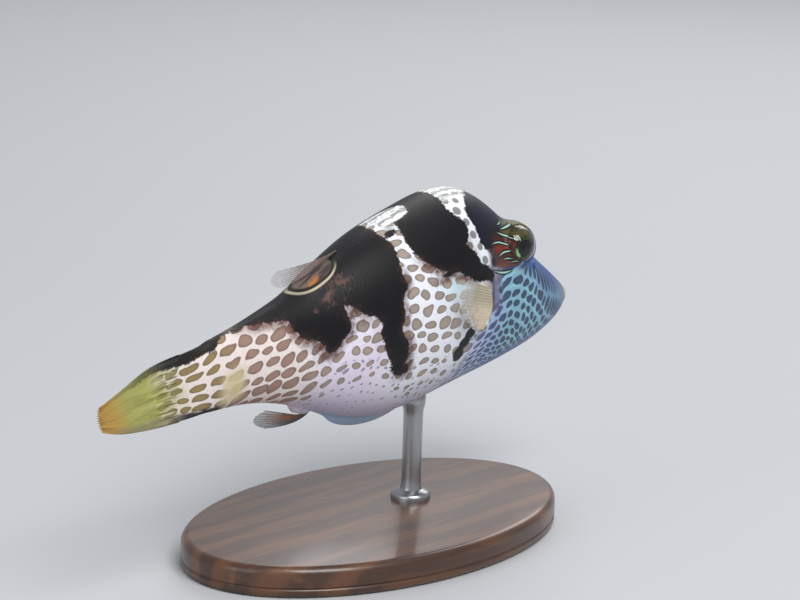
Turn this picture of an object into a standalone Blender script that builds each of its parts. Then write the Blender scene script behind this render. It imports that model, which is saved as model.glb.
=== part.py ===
"""Valentini puffer as a still, life-size display model on a small stand.

Fish coordinates: s runs back from the tip of the snout, y to the fish's left, z up from the body's axis.
The spine bends a little to the side, and place() turns fish coordinates into straight ones. Everything is
modelled in millimetres, and settle() makes metres of it at the end.
"""

import math
from collections import namedtuple

import bmesh
import bpy
import numpy as np
from mathutils import Matrix, Vector

MM = 0.001
GAP = 0.3
SHORTEST_EDGE = 0.02

# Driving dimensions of the body, in millimetres
BODY_END = 71.0
SPINE_MIDDLE = 38.0
HEAD_END = 27.0
TRUNK_END = 58.0

# Distance back, back line, belly line, half width, height of the widest point
Station = namedtuple("Station", "back top bottom half widest")
STATIONS = (
    Station(0.0, -2.0, -4.7, 1.75, -3.3),
    Station(2.0, -0.6, -6.15, 2.5, -3.2),
    Station(6.0, 2.0, -7.65, 3.7, -2.5),
    Station(11.0, 5.3, -8.6, 5.1, -1.5),
    Station(16.0, 9.3, -9.2, 6.3, -0.2),
    Station(20.5, 12.7, -9.7, 7.2, 0.9),
    Station(27.0, 15.6, -10.4, 8.1, 1.7),
    Station(35.0, 14.7, -11.6, 8.4, 1.1),
    Station(43.0, 12.5, -12.2, 7.8, 0.1),
    Station(50.0, 9.55, -10.7, 6.2, -0.3),
    Station(56.0, 6.8, -8.5, 4.6, -0.7),
    Station(62.0, 5.0, -6.9, 3.3, -0.9),
    Station(67.0, 3.8, -6.3, 2.3, -1.2),
    Station(71.0, 3.0, -6.3, 1.55, -1.6),
)
# Heading of the body along the spine, in degrees to the left of straight ahead
HEADING = ((6.0, 7.5), (24.0, 3.7), (40.0, 0.0), (58.0, 1.9), (80.0, -1.6))

# Snout: rings from the skin over the lips and into the mouth (distance back, half width, half height)
SNOUT_Z = -3.3
LIP_RINGS = (
    (1.4, 2.1, 1.95),
    (0.95, 2.1, 1.9),
    (0.5, 1.9, 1.55),
    (0.25, 1.65, 1.15),
    (0.3, 1.5, 0.85),
    (0.55, 1.42, 0.62),
    (1.05, 1.4, 0.55),
    (2.2, 1.35, 0.55),
)
LIP_START = 1.9
MOUTH_DEPTH = LIP_RINGS[-1][0]
BEAK_HALF_WIDTH = 1.05
BEAK_HALF_HEIGHT = 0.27
BEAK_FRONT = 0.65

# Eyes: the dome of skin and the ball that shows in it
EYE_BACK = 19.7
EYE_OUT = 4.9
EYE_UP = 7.3
DOME_RADIUS = 3.45
EYE_RADIUS = 2.5
EYE_FORWARD = 1.35
EYE_TURN_BACK = math.radians(11.0)
EYE_TURN_UP = math.radians(19.0)

NOSTRIL_BACK = 13.6
NOSTRIL_ANGLE = math.radians(47.0)
NOSTRIL_RADIUS = 0.42
NOSTRIL_HEIGHT = 0.3
NOSTRIL_BORE = 0.2

GILL_BACK = 25.3
GILL_ANGLE = math.radians(90.0)
GILL_HALF_LENGTH = 2.7
GILL_HALF_WIDTH = 0.24
GILL_DEPTH = 0.8

# Pads of flesh that the fins grow from: start, end (distance back, height), radius
ANAL_PAD = ((54.0, 0.2), (55.5, 0.1), 0.9)
PECTORAL_PAD = ((28.6, 3.9), (29.2, -0.9), 1.0)
PAD_BLEND = 0.6
DOME_BLEND = 1.2
# Mound under the dorsal fin, measured from the back line
DORSAL_MOUND_BACK = 52.4
DORSAL_MOUND_RISE = -0.85
DORSAL_MOUND_HALF = (3.3, 2.3, 0.9)

# The fold of skin under the belly
KEEL_BACK = 41.8
KEEL_Z = -9.9
KEEL_HALF = (8.6, 0.85, 3.5)
KEEL_BLEND = 0.4

DORSAL_RAYS = 9
ANAL_RAYS = 9
CAUDAL_RAYS = 11
PECTORAL_RAYS = 16
CAUDAL_LENGTH = 19.0

# Stand: an oval plinth and one rod up to the belly
FLOOR_Z = -29.5
BASE_BACK = 40.0
BASE_LENGTH = 60.0
BASE_WIDTH = 37.0
BASE_THICK = 4.0
BASE_EDGE = 0.9
ROD_BACK = 32.5
ROD_RADIUS = 1.5

HEAD_COLUMNS = 52
TRUNK_COLUMNS = 48
TAIL_COLUMNS = 32
DENSE_ANGLES = 181

SKIN_WHITE = (0.78, 0.76, 0.80)
HEAD_BLUE = (0.34, 0.50, 0.62)
TAIL_TAN = (0.55, 0.47, 0.36)
FIN_OLIVE = (0.58, 0.55, 0.18)
FIN_TAN = (0.72, 0.62, 0.42)
FIN_GREY = (0.50, 0.47, 0.42)
EYE_GREEN = (0.16, 0.22, 0.07)
BEAK_IVORY = (0.86, 0.82, 0.70)
PLINTH_WOOD = (0.10, 0.055, 0.03)
ROD_STEEL = (0.62, 0.62, 0.60)


def smooth_curve(knots):
    """A natural cubic spline through (x, y) knots, held level beyond its ends."""
    x, y = np.array(knots, dtype=float).T
    step = np.diff(x)
    rise = np.diff(y) / step
    count = len(x)
    system = np.eye(count)
    load = np.zeros(count)
    for i in range(1, count - 1):
        system[i, i - 1:i + 2] = step[i - 1], 2 * (step[i - 1] + step[i]), step[i]
        load[i] = 6 * (rise[i] - rise[i - 1])
    bend = np.linalg.solve(system, load)

    def curve(at):
        at = np.clip(at, x[0], x[-1])
        i = np.clip(np.searchsorted(x, at) - 1, 0, count - 2)
        ahead = at - x[i]
        left = x[i + 1] - at
        h = step[i]
        return ((bend[i] * left ** 3 + bend[i + 1] * ahead ** 3) / (6 * h)
                + (y[i] / h - bend[i] * h / 6) * left + (y[i + 1] / h - bend[i + 1] * h / 6) * ahead)

    return curve


def station_curve(field):
    return smooth_curve([(station.back, getattr(station, field)) for station in STATIONS])


top_line = station_curve("top")
belly_line = station_curve("bottom")
half_width = station_curve("half")
widest_height = station_curve("widest")


def spine_table():
    """Spine positions and headings every tenth of a millimetre, with the middle of the spine at 0, 0."""
    back = np.arange(-5.0, 100.0, 0.1)
    heading = np.radians(smooth_curve(HEADING)(back))
    x = -np.concatenate([[0.0], np.cumsum(np.cos(heading[1:]) * np.diff(back))])
    y = -np.concatenate([[0.0], np.cumsum(np.sin(heading[1:]) * np.diff(back))])
    x -= np.interp(SPINE_MIDDLE, back, x)
    y -= np.interp(SPINE_MIDDLE, back, y)
    return back, x, y, heading


SPINE = spine_table()


def place(s, y, z):
    """Fish coordinates to straight ones, x ahead, y left and z up."""
    back, spine_x, spine_y, heading = SPINE
    s, y, z = np.broadcast_arrays(s, y, z)
    turn = np.interp(s, back, heading)
    straight_x = np.interp(s, back, spine_x) - y * np.sin(turn)
    straight_y = np.interp(s, back, spine_y) + y * np.cos(turn)
    return np.stack([straight_x, straight_y, z], axis=-1)


def local_axes(s):
    """Directions forward, left and up at a distance back along the spine."""
    turn = float(np.interp(s, SPINE[0], SPINE[3]))
    forward = Vector((math.cos(turn), math.sin(turn), 0.0))
    left = Vector((-math.sin(turn), math.cos(turn), 0.0))
    return forward, left, Vector((0.0, 0.0, 1.0))


def smooth_max(a, b, blend):
    """The larger of two depths, with a fillet where they are alike."""
    near = np.maximum(blend - np.abs(a - b), 0.0) / blend
    return np.maximum(a, b) + near * near * blend / 4


def capsule_depth(point, start, end, radius):
    """Depth inside a rounded bar, in fish coordinates."""
    start, end = np.array(start), np.array(end)
    along = end - start
    offset = point - start
    t = np.clip(offset @ along / max(along @ along, 1e-9), 0.0, 1.0)
    return radius - np.linalg.norm(offset - t[..., None] * along, axis=-1)


def ellipsoid_depth(point, centre, half):
    """Rough depth inside an ellipsoid, in fish coordinates."""
    return (1.0 - np.linalg.norm((point - np.array(centre)) / np.array(half), axis=-1)) * min(half)


def flank_out(s, z):
    """Distance of the plain flank from the middle plane."""
    middle = widest_height(s)
    tall = np.where(z > middle, top_line(s) - middle, middle - belly_line(s))
    return half_width(s) * np.sqrt(np.maximum(1.0 - ((z - middle) / tall) ** 2, 0.0))


def lump_depths(point):
    """Depths inside every swelling that is fused to the body, each with its fillet."""
    for side in (-1, 1):
        yield capsule_depth(point, (EYE_BACK, side * EYE_OUT, EYE_UP), (EYE_BACK, side * EYE_OUT, EYE_UP),
                            DOME_RADIUS), DOME_BLEND
        ends = [(back, side * float(flank_out(back, z)), z) for back, z in PECTORAL_PAD[:2]]
        yield capsule_depth(point, *ends, PECTORAL_PAD[2]), PAD_BLEND
    ends = [(back, 0.0, float(belly_line(back)) + rise) for back, rise in ANAL_PAD[:2]]
    yield capsule_depth(point, *ends, ANAL_PAD[2]), PAD_BLEND
    over_back = point - np.stack([0 * point[..., 0], 0 * point[..., 0], top_line(point[..., 0])], axis=-1)
    yield ellipsoid_depth(over_back, (DORSAL_MOUND_BACK, 0.0, DORSAL_MOUND_RISE), DORSAL_MOUND_HALF), PAD_BLEND
    yield ellipsoid_depth(point, (KEEL_BACK, 0.0, KEEL_Z), KEEL_HALF), KEEL_BLEND


def skin_radius(s, angle):
    """Distance of the skin from the middle of its section, along an angle from straight up to the right."""
    middle = widest_height(s)
    side, up = -np.sin(angle), np.cos(angle)
    tall = np.where(up > 0, top_line(s) - middle, middle - belly_line(s))
    plain = 1.0 / np.sqrt((side / half_width(s)) ** 2 + (up / tall) ** 2)
    low, high = plain * 0.95, plain + 5.0
    for _ in range(26):
        radius = (low + high) / 2
        point = np.stack(np.broadcast_arrays(s, radius * side, middle + radius * up), axis=-1)
        depth = plain - radius
        for lump, blend in lump_depths(point):
            depth = smooth_max(depth, lump, blend)
        inside = depth > 0
        low = np.where(inside, radius, low)
        high = np.where(inside, high, radius)
    return (low + high) / 2


def skin_point(s, angle):
    radius = skin_radius(s, angle)
    return s + 0.0 * radius, -radius * np.sin(angle), widest_height(s) + radius * np.cos(angle)


def ring(s, columns):
    """One section of the skin as evenly spaced points, from the top round by the right side."""
    sides = []
    for sign in (1, -1):
        angles = sign * np.linspace(0.0, math.pi, DENSE_ANGLES)
        _, y, z = skin_point(s, angles)
        length = np.concatenate([[0.0], np.cumsum(np.hypot(np.diff(y), np.diff(z)))])
        even = np.linspace(0.0, length[-1], columns // 2 + 1)
        sides.append(np.stack([np.interp(even, length, y), np.interp(even, length, z)], axis=-1))
    outline = np.concatenate([sides[0], sides[1][-2:0:-1]])
    return place(s, outline[:, 0], outline[:, 1])


def lip_ring(s, half_across, half_tall, columns):
    angles = np.linspace(0.0, 2 * math.pi, columns, endpoint=False)
    return place(s, -half_across * np.sin(angles), SNOUT_Z + half_tall * np.cos(angles))


def material(name, colour, roughness, metallic=0.0):
    made = bpy.data.materials.new(name)
    made.use_nodes = True
    shader = made.node_tree.nodes["Principled BSDF"]
    shader.inputs["Base Color"].default_value = (*colour, 1.0)
    shader.inputs["Roughness"].default_value = roughness
    shader.inputs["Metallic"].default_value = metallic
    return made


def add_object(name, work, collection, finish=None):
    """Make an object of a bmesh, with its faces pointing outwards."""
    bmesh.ops.recalc_face_normals(work, faces=work.faces)
    if work.calc_volume(signed=True) < 0:
        bmesh.ops.reverse_faces(work, faces=work.faces)
    mesh = bpy.data.meshes.new(name)
    work.to_mesh(mesh)
    work.free()
    made = bpy.data.objects.new(name, mesh)
    collection.objects.link(made)
    if finish:
        mesh.materials.append(finish)
    return made


def loft(name, rings, collection, finish):
    """A closed body through rings of points, capped flat at both ends."""
    work = bmesh.new()
    rows = [[work.verts.new(point) for point in one] for one in rings]
    columns = len(rows[0])
    for row, following in zip(rows, rows[1:]):
        for i in range(columns):
            j = (i + 1) % columns
            work.faces.new((row[i], row[j], following[j], following[i]))
    work.faces.new(rows[0])
    work.faces.new(rows[-1])
    bmesh.ops.triangulate(work, faces=work.faces)
    return add_object(name, work, collection, finish)


def ellipsoid(name, centre, half, turn, collection, segments=14, rings=8):
    work = bmesh.new()
    bmesh.ops.create_uvsphere(work, u_segments=segments, v_segments=rings, radius=1.0)
    sizes = Matrix.Diagonal((*half, 1.0))
    work.transform(Matrix.Translation(centre) @ turn.to_4x4() @ sizes)
    return add_object(name, work, collection)


def tube(name, centre, axis, radius, length, collection, segments=12):
    work = bmesh.new()
    bmesh.ops.create_cone(work, cap_ends=True, segments=segments, radius1=radius, radius2=radius,
                          depth=length)
    turn = axis.to_track_quat("Z", "Y").to_matrix().to_4x4()
    work.transform(Matrix.Translation(centre) @ turn)
    return add_object(name, work, collection)


def keep_largest(target):
    """Keep the largest closed surface, in triangles with no slivers."""
    work = bmesh.new()
    work.from_mesh(target.data)
    left = set(work.verts)
    groups = []
    while left:
        group = set()
        edge = [left.pop()]
        while edge:
            vertex = edge.pop()
            group.add(vertex)
            for link in vertex.link_edges:
                other = link.other_vert(vertex)
                if other in left:
                    left.remove(other)
                    edge.append(other)
        groups.append(group)
    groups.sort(key=len, reverse=True)
    scraps = [vertex for group in groups[1:] for vertex in group]
    bmesh.ops.delete(work, geom=scraps, context="VERTS")
    bmesh.ops.triangulate(work, faces=work.faces)
    bmesh.ops.dissolve_degenerate(work, dist=SHORTEST_EDGE, edges=work.edges)
    bmesh.ops.triangulate(work, faces=work.faces)
    work.to_mesh(target.data)
    work.free()


def combine(target, tools, operation):
    """Join or cut a body with every object of a collection, then remove those objects."""
    change = target.modifiers.new(operation.lower(), "BOOLEAN")
    change.operation = operation
    change.operand_type = "COLLECTION"
    change.collection = tools
    change.solver = "EXACT"
    evaluated = target.evaluated_get(bpy.context.evaluated_depsgraph_get())
    result = bpy.data.meshes.new_from_object(evaluated)
    target.modifiers.remove(change)
    target.data = result
    for tool in list(tools.objects):
        bpy.data.objects.remove(tool)
    keep_largest(target)


def hidden_collection(name):
    made = bpy.data.collections.new(name)
    bpy.context.scene.collection.children.link(made)
    return made


def as_cutters(collection):
    for tool in collection.objects:
        tool.hide_render = True
        tool.display_type = "WIRE"


def eye_frame(side):
    """Centre of the dome of skin and the way the eye looks."""
    forward, left, up = local_axes(EYE_BACK)
    look = (-forward * math.sin(EYE_TURN_BACK) * math.cos(EYE_TURN_UP)
            + left * side * math.cos(EYE_TURN_BACK) * math.cos(EYE_TURN_UP) + up * math.sin(EYE_TURN_UP))
    return Vector(place(EYE_BACK, side * EYE_OUT, EYE_UP)), look.normalized()


def skin_frame(s, angle):
    """A point on the skin and its outward direction."""
    nudge = 0.05
    here = Vector(place(*skin_point(s, np.array(angle))))
    behind = Vector(place(*skin_point(s + nudge, np.array(angle))))
    beside = Vector(place(*skin_point(s, np.array(angle + nudge / 5))))
    normal = (behind - here).cross(beside - here).normalized()
    centre = Vector(place(s, 0.0, widest_height(s)))
    return here, normal if normal.dot(here - centre) > 0 else -normal


def make_head(parts, finish):
    spots = np.concatenate([np.linspace(HEAD_END - GAP / 2, 24.0, 3), np.linspace(23.1, 16.3, 9),
                            np.linspace(15.2, 4.2, 8), [2.7, LIP_START]])
    rings = [ring(s, HEAD_COLUMNS) for s in spots]
    rings += [lip_ring(*size, HEAD_COLUMNS) for size in LIP_RINGS]
    head = loft("head", rings, parts, finish)
    rims = hidden_collection("nostril_rims")
    for side in (-1, 1):
        spot, out = skin_frame(NOSTRIL_BACK, -side * NOSTRIL_ANGLE)
        root = 4 * NOSTRIL_HEIGHT
        tube("nostril_rim", spot + out * (NOSTRIL_HEIGHT - root / 2), out, NOSTRIL_RADIUS, root, rims)
    combine(head, rims, "UNION")
    cutters = hidden_collection("head_cutters")
    for side in (-1, 1):
        dome, look = eye_frame(side)
        socket = EYE_RADIUS + GAP
        ellipsoid("socket", dome + look * EYE_FORWARD, (socket,) * 3, look.to_track_quat("Z", "Y").to_matrix(),
                  cutters, segments=20, rings=12)
        spot, out = skin_frame(NOSTRIL_BACK, -side * NOSTRIL_ANGLE)
        tube("nostril_bore", spot + out, out, NOSTRIL_BORE, NOSTRIL_HEIGHT * 2 + 2.0, cutters, segments=10)
        spot, out = skin_frame(GILL_BACK, -side * GILL_ANGLE)
        turn = out.to_track_quat("X", "Z").to_matrix()
        ellipsoid("gill_slit", spot, (GILL_DEPTH, GILL_HALF_WIDTH, GILL_HALF_LENGTH), turn, cutters)
    as_cutters(cutters)
    combine(head, cutters, "DIFFERENCE")
    return head


def make_trunk(parts, finish):
    spots = np.linspace(HEAD_END + GAP / 2, TRUNK_END - GAP / 2, 28)
    return loft("trunk", [ring(s, TRUNK_COLUMNS) for s in spots], parts, finish)


def make_tail(parts, finish):
    spots = np.linspace(TRUNK_END + GAP / 2, BODY_END - GAP / 2, 9)
    return loft("tail", [ring(s, TAIL_COLUMNS) for s in spots], parts, finish)


def make_eye(side, parts, finish):
    dome, look = eye_frame(side)
    turn = look.to_track_quat("Z", "Y").to_matrix()
    eye = ellipsoid("eye_left" if side > 0 else "eye_right", dome + look * EYE_FORWARD, (EYE_RADIUS,) * 3,
                    turn, parts, segments=18, rings=10)
    eye.data.materials.append(finish)
    return eye


def make_beak(parts, finish):
    """The two plates of the beak in the open mouth, pinched where they meet."""
    half_deep = (MOUTH_DEPTH - GAP - BEAK_FRONT) / 2
    forward, left, up = local_axes(0.0)
    turn = Matrix((forward, left, up)).transposed()
    centre = Vector(place(BEAK_FRONT + half_deep, 0.0, SNOUT_Z))
    beak = ellipsoid("beak", centre, (half_deep, BEAK_HALF_WIDTH, BEAK_HALF_HEIGHT), turn, parts)
    beak.data.materials.append(finish)
    return beak


def fin_solid(name, centre, thickness, rays, rows, parts, finish, upright=True):
    """A fin with a ridge along each ray: centre(u, v) in fish coordinates, u across the rays, v along them.

    An upright fin is as thick to its left as to its right; any other fin is thickened square to its sheet.
    """
    across = np.linspace(0.0, 1.0, 2 * rays - 1)[:, None]
    along = np.linspace(0.0, 1.0, rows)[None, :]
    on_ray = (np.arange(2 * rays - 1) % 2 == 0)[:, None]
    back, side, height = centre(across, along, on_ray)
    middle = place(back, side, height)
    normal = place(back, side + 1.0, height) - middle
    if not upright:
        normal = np.cross(np.gradient(middle, axis=0), np.gradient(middle, axis=1))
        normal /= np.linalg.norm(normal, axis=-1, keepdims=True)
    half = (thickness(across, along, on_ray) / 2)[..., None]
    work = bmesh.new()
    faces = []
    for sign in (1, -1):
        faces.append([[work.verts.new(point) for point in row] for row in middle + sign * half * normal])
    columns = len(across)
    for sheet in faces:
        for i in range(columns - 1):
            for j in range(rows - 1):
                work.faces.new((sheet[i][j], sheet[i + 1][j], sheet[i + 1][j + 1]))
                work.faces.new((sheet[i][j], sheet[i + 1][j + 1], sheet[i][j + 1]))
    rim = [(i, 0) for i in range(columns - 1)] + [(columns - 1, j) for j in range(rows - 1)]
    rim += [(i, rows - 1) for i in range(columns - 1, 0, -1)] + [(0, j) for j in range(rows - 1, 0, -1)]
    for (i, j), (k, m) in zip(rim, rim[1:] + rim[:1]):
        work.faces.new((faces[0][i][j], faces[0][k][m], faces[1][k][m]))
        work.faces.new((faces[0][i][j], faces[1][k][m], faces[1][i][j]))
    return add_object(name, work, parts, finish)


def ray_thickness(root, tip, membrane):
    """Thickness of a fin whose rays taper from root to tip, with a thinner membrane between them."""
    def thickness(u, v, on_ray):
        ray = root + (tip - root) * v
        web = np.minimum(ray * 0.8, membrane) * (1.0 - 0.3 * np.clip(v - 0.85, 0.0, 0.15) / 0.15)
        return np.where(on_ray, ray + 0 * u, web + 0 * u)
    return thickness


def swept_fin(root_back, root_height, tips, arch):
    """Rays from a root on the middle line to tips given as (u, back, side, height).

    The leading ray is arched up, or down for a negative arch, and the rays behind it less and less.
    """
    tip_back, tip_side, tip_height = (smooth_curve([(tip[0], tip[k]) for tip in tips]) for k in (1, 2, 3))

    def centre(u, v, on_ray):
        reach = v * np.where(on_ray, 1.0, 0.97)
        start = root_back[0] + (root_back[1] - root_back[0]) * u
        base = root_height(start)
        s = start + (tip_back(u) - start) * reach
        y = tip_side(u) * reach ** 1.5
        z = base + (tip_height(u) - base) * reach + arch * (1.0 - u) * (1.0 - reach - (1.0 - reach) ** 3)
        return s, y, z

    return centre


def make_dorsal(parts, finish):
    def root(s):
        return np.vectorize(lambda back: float(skin_point(back, np.array(0.0))[2]))(s) + GAP
    tips = ((0.0, 57.9, 1.5, 8.95), (0.4, 58.8, 1.7, 8.1), (0.75, 58.6, 1.4, 7.2), (1.0, 57.6, 1.0, 6.8))
    centre = swept_fin((49.5, 53.3), root, tips, -0.4)
    return fin_solid("fin_dorsal", centre, ray_thickness(0.9, 0.56, 0.6), DORSAL_RAYS, 8, parts, finish)


def make_anal(parts, finish):
    def root(s):
        return np.vectorize(lambda back: float(skin_point(back, np.array(math.pi))[2]))(s) - GAP
    tips = ((0.0, 59.7, 1.4, -11.0), (0.4, 61.4, 1.6, -10.1), (0.75, 61.4, 1.4, -9.1), (1.0, 60.0, 1.0, -8.5))
    centre = swept_fin((53.6, 56.0), root, tips, -0.9)
    return fin_solid("fin_anal", centre, ray_thickness(0.9, 0.56, 0.6), ANAL_RAYS, 8, parts, finish)


def make_caudal(parts, finish):
    upper = smooth_curve(((0.0, 2.85), (0.15, 2.25), (0.4, 1.6), (0.6, 0.75), (0.8, -0.95), (1.0, -2.5)))
    lower = smooth_curve(((0.0, -6.2), (0.3, -6.5), (0.7, -6.5), (0.85, -6.2), (1.0, -5.5)))

    def centre(u, v, on_ray):
        reach = CAUDAL_LENGTH - 0.4 * (2 * u - 1) ** 2 - 0.6 * u - np.where(on_ray, 0.0, 0.5)
        s = BODY_END + GAP / 2 + reach * v
        z = upper(v) + (lower(v) - upper(v)) * u
        return s, 0 * s, z

    def thickness(u, v, on_ray):
        fleshy = 2 * half_width(BODY_END) * np.sqrt(np.maximum(1.0 - (2 * u - 1) ** 2, 0.08))
        bare = ray_thickness(1.1, 0.56, 0.62)(u, v, on_ray)
        blend = np.clip(v / 0.28, 0.0, 1.0)
        blend = blend * blend * (3 - 2 * blend)
        return fleshy * (1 - blend) + bare * blend

    return fin_solid("fin_caudal", centre, thickness, CAUDAL_RAYS, 13, parts, finish)


def make_pectoral(side, spread, parts, finish):
    """A fan swept back along the flank; spread is how far its tips stand off the skin."""
    (top_back, top_z), (low_back, low_z), radius = PECTORAL_PAD
    root_out = 0.85
    root_shift = 1.08
    tip_back = smooth_curve(((0.0, 35.0), (0.35, 36.8), (0.7, 36.2), (1.0, 33.7)))
    tip_z = smooth_curve(((0.0, 6.3), (0.35, 4.4), (0.7, 1.8), (1.0, -0.7)))

    def centre(u, v, on_ray):
        reach = v * np.where(on_ray, 1.0, 0.97)
        start = top_back + (low_back - top_back) * u + root_shift
        height = top_z + 0.4 + (low_z - top_z - 0.8) * u
        s = start + (tip_back(u) - start) * reach
        z = height + (tip_z(u) - height) * reach
        out = flank_out(s, z) + root_out + (spread - root_out) * reach ** 1.5
        return s, side * out, z

    name = "fin_pectoral_left" if side > 0 else "fin_pectoral_right"
    return fin_solid(name, centre, ray_thickness(0.8, 0.5, 0.52), PECTORAL_RAYS, 7, parts, finish, upright=False)


def make_base(parts, finish):
    work = bmesh.new()
    bmesh.ops.create_cone(work, cap_ends=True, segments=48, radius1=BASE_LENGTH / 2,
                          radius2=BASE_LENGTH / 2, depth=BASE_THICK)
    middle = Vector(place(BASE_BACK, 0.0, FLOOR_Z + BASE_THICK / 2))
    work.transform(Matrix.Translation(middle) @ Matrix.Diagonal((1.0, BASE_WIDTH / BASE_LENGTH, 1.0, 1.0)))
    upper = [edge for edge in work.edges if len(edge.link_faces) == 2 and edge.calc_face_angle() > 1.0
             and edge.verts[0].co.z > middle.z and edge.verts[1].co.z > middle.z]
    bmesh.ops.bevel(work, geom=upper, offset=BASE_EDGE, segments=2, profile=0.6, affect="EDGES")
    return add_object("stand_base", work, parts, finish)


def make_rod(parts, finish):
    top = float(skin_point(ROD_BACK, np.array(math.pi))[2]) - GAP
    foot = FLOOR_Z + BASE_THICK + GAP
    rod = tube("stand_rod", Vector(place(ROD_BACK, 0.0, (top + foot) / 2)), Vector((0, 0, 1)), ROD_RADIUS,
               top - foot, parts, segments=24)
    rod.data.materials.append(finish)
    return rod


def settle(parts):
    """Make metres of millimetres, and carry every piece on one empty so that the whole stands on z = 0."""
    for piece in parts.objects:
        piece.data.transform(Matrix.Scale(MM, 4))
    corners = [vertex.co for piece in parts.objects for vertex in piece.data.vertices]
    low = Vector([min(corner[k] for corner in corners) for k in range(3)])
    high = Vector([max(corner[k] for corner in corners) for k in range(3)])
    carrier = bpy.data.objects.new("carrier", None)
    bpy.context.scene.collection.objects.link(carrier)
    for piece in parts.objects:
        piece.parent = carrier
    carrier.location = (-(low.x + high.x) / 2, -(low.y + high.y) / 2, -low.z)


def main():
    for item in list(bpy.data.objects):
        bpy.data.objects.remove(item)
    parts = bpy.data.collections.new("valentini_puffer")
    bpy.context.scene.collection.children.link(parts)
    make_head(parts, material("head_skin", HEAD_BLUE, 0.4))
    make_trunk(parts, material("trunk_skin", SKIN_WHITE, 0.4))
    make_tail(parts, material("tail_skin", TAIL_TAN, 0.4))
    for side in (-1, 1):
        make_eye(side, parts, material("eye", EYE_GREEN, 0.08))
    make_beak(parts, material("beak", BEAK_IVORY, 0.3))
    make_dorsal(parts, material("dorsal_fin", FIN_TAN, 0.35))
    make_anal(parts, material("anal_fin", FIN_GREY, 0.35))
    make_caudal(parts, material("caudal_fin", FIN_OLIVE, 0.35))
    make_pectoral(-1, 2.7, parts, material("right_pectoral_fin", FIN_TAN, 0.35))
    make_pectoral(1, 4.6, parts, material("left_pectoral_fin", FIN_TAN, 0.35))
    make_base(parts, material("plinth", PLINTH_WOOD, 0.35))
    make_rod(parts, material("rod", ROD_STEEL, 0.25, 1.0))
    for piece in parts.objects:
        piece.data.shade_smooth()
        piece.data.set_sharp_from_angle(angle=math.radians(40))
    settle(parts)


main()
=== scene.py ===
"""Dresses the frame of a valentini puffer on its stand, laid out as a Blender add-on.

Fish coordinates are in millimetres: s runs back from the tip of the snout, y to the fish's left and z up.
place() turns them into straight ones along the bent spine, and in_frame() puts those where the frame is.
"""

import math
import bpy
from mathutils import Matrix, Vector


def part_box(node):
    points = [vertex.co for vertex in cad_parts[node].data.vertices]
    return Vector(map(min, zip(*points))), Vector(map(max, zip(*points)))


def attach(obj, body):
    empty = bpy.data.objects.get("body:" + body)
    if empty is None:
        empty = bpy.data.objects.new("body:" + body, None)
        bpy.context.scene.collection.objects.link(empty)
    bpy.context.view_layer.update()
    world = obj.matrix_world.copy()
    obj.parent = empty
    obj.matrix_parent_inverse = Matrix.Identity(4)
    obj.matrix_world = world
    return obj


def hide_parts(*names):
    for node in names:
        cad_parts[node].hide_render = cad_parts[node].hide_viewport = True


bl_info = {
    "name": "Valentini puffer",
    "version": (1, 0, 0),
    "blender": (4, 5, 0),
    "location": "3D View > Sidebar > Puffer",
    "description": "Skin, eyes, fins and stand for the frame of a valentini puffer",
    "category": "Object",
}

from collections import namedtuple
from contextlib import contextmanager

import bmesh
import bpy
import numpy as np
from mathutils import Matrix, Vector

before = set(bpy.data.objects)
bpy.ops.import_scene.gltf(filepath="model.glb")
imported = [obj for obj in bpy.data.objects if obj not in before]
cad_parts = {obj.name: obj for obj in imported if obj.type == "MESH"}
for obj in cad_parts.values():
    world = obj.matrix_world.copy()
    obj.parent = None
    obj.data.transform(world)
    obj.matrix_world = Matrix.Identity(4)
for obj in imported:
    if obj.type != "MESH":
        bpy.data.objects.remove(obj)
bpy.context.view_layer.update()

MM = 0.001

# The body, as in the frame: distance back, back line, belly line, half width, height of the widest point
Station = namedtuple("Station", "back top bottom half widest")
STATIONS = (
    Station(0.0, -2.0, -4.7, 1.75, -3.3),
    Station(2.0, -0.6, -6.15, 2.5, -3.2),
    Station(6.0, 2.0, -7.65, 3.7, -2.5),
    Station(11.0, 5.3, -8.6, 5.1, -1.5),
    Station(16.0, 9.3, -9.2, 6.3, -0.2),
    Station(20.5, 12.7, -9.7, 7.2, 0.9),
    Station(27.0, 15.6, -10.4, 8.1, 1.7),
    Station(35.0, 14.7, -11.6, 8.4, 1.1),
    Station(43.0, 12.5, -12.2, 7.8, 0.1),
    Station(50.0, 9.55, -10.7, 6.2, -0.3),
    Station(56.0, 6.8, -8.5, 4.6, -0.7),
    Station(62.0, 5.0, -6.9, 3.3, -0.9),
    Station(67.0, 3.8, -6.3, 2.3, -1.2),
    Station(71.0, 3.0, -6.3, 1.55, -1.6),
)
HEADING = ((6.0, 7.5), (24.0, 3.7), (40.0, 0.0), (58.0, 1.9), (80.0, -1.6))
SPINE_MIDDLE = 38.0
HEAD_END = 27.0
BODY_END = 71.0
SKIN_END = 77.2

# Lips and mouth: distance back, half width, half height
SNOUT_Z = -3.3
LIP_START = 1.9
LIP_RINGS = (
    (1.4, 2.1, 1.95),
    (0.95, 2.1, 1.9),
    (0.5, 1.9, 1.55),
    (0.25, 1.65, 1.15),
    (0.3, 1.5, 0.85),
    (0.55, 1.42, 0.62),
    (1.05, 1.4, 0.55),
    (2.2, 1.35, 0.55),
)
LIP_FOLDS = 34
LIP_FOLD_DEPTH = 0.035
BEAK_HALF_WIDTH = 1.05
BEAK_HALF_HEIGHT = 0.27
BEAK_FRONT = 0.65
BEAK_BACK = 1.9
BEAK_CLEFT = 0.55
BEAK_SEAM = 0.12
BEAK_RINGS = 65
BEAK_COLUMNS = 96

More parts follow.
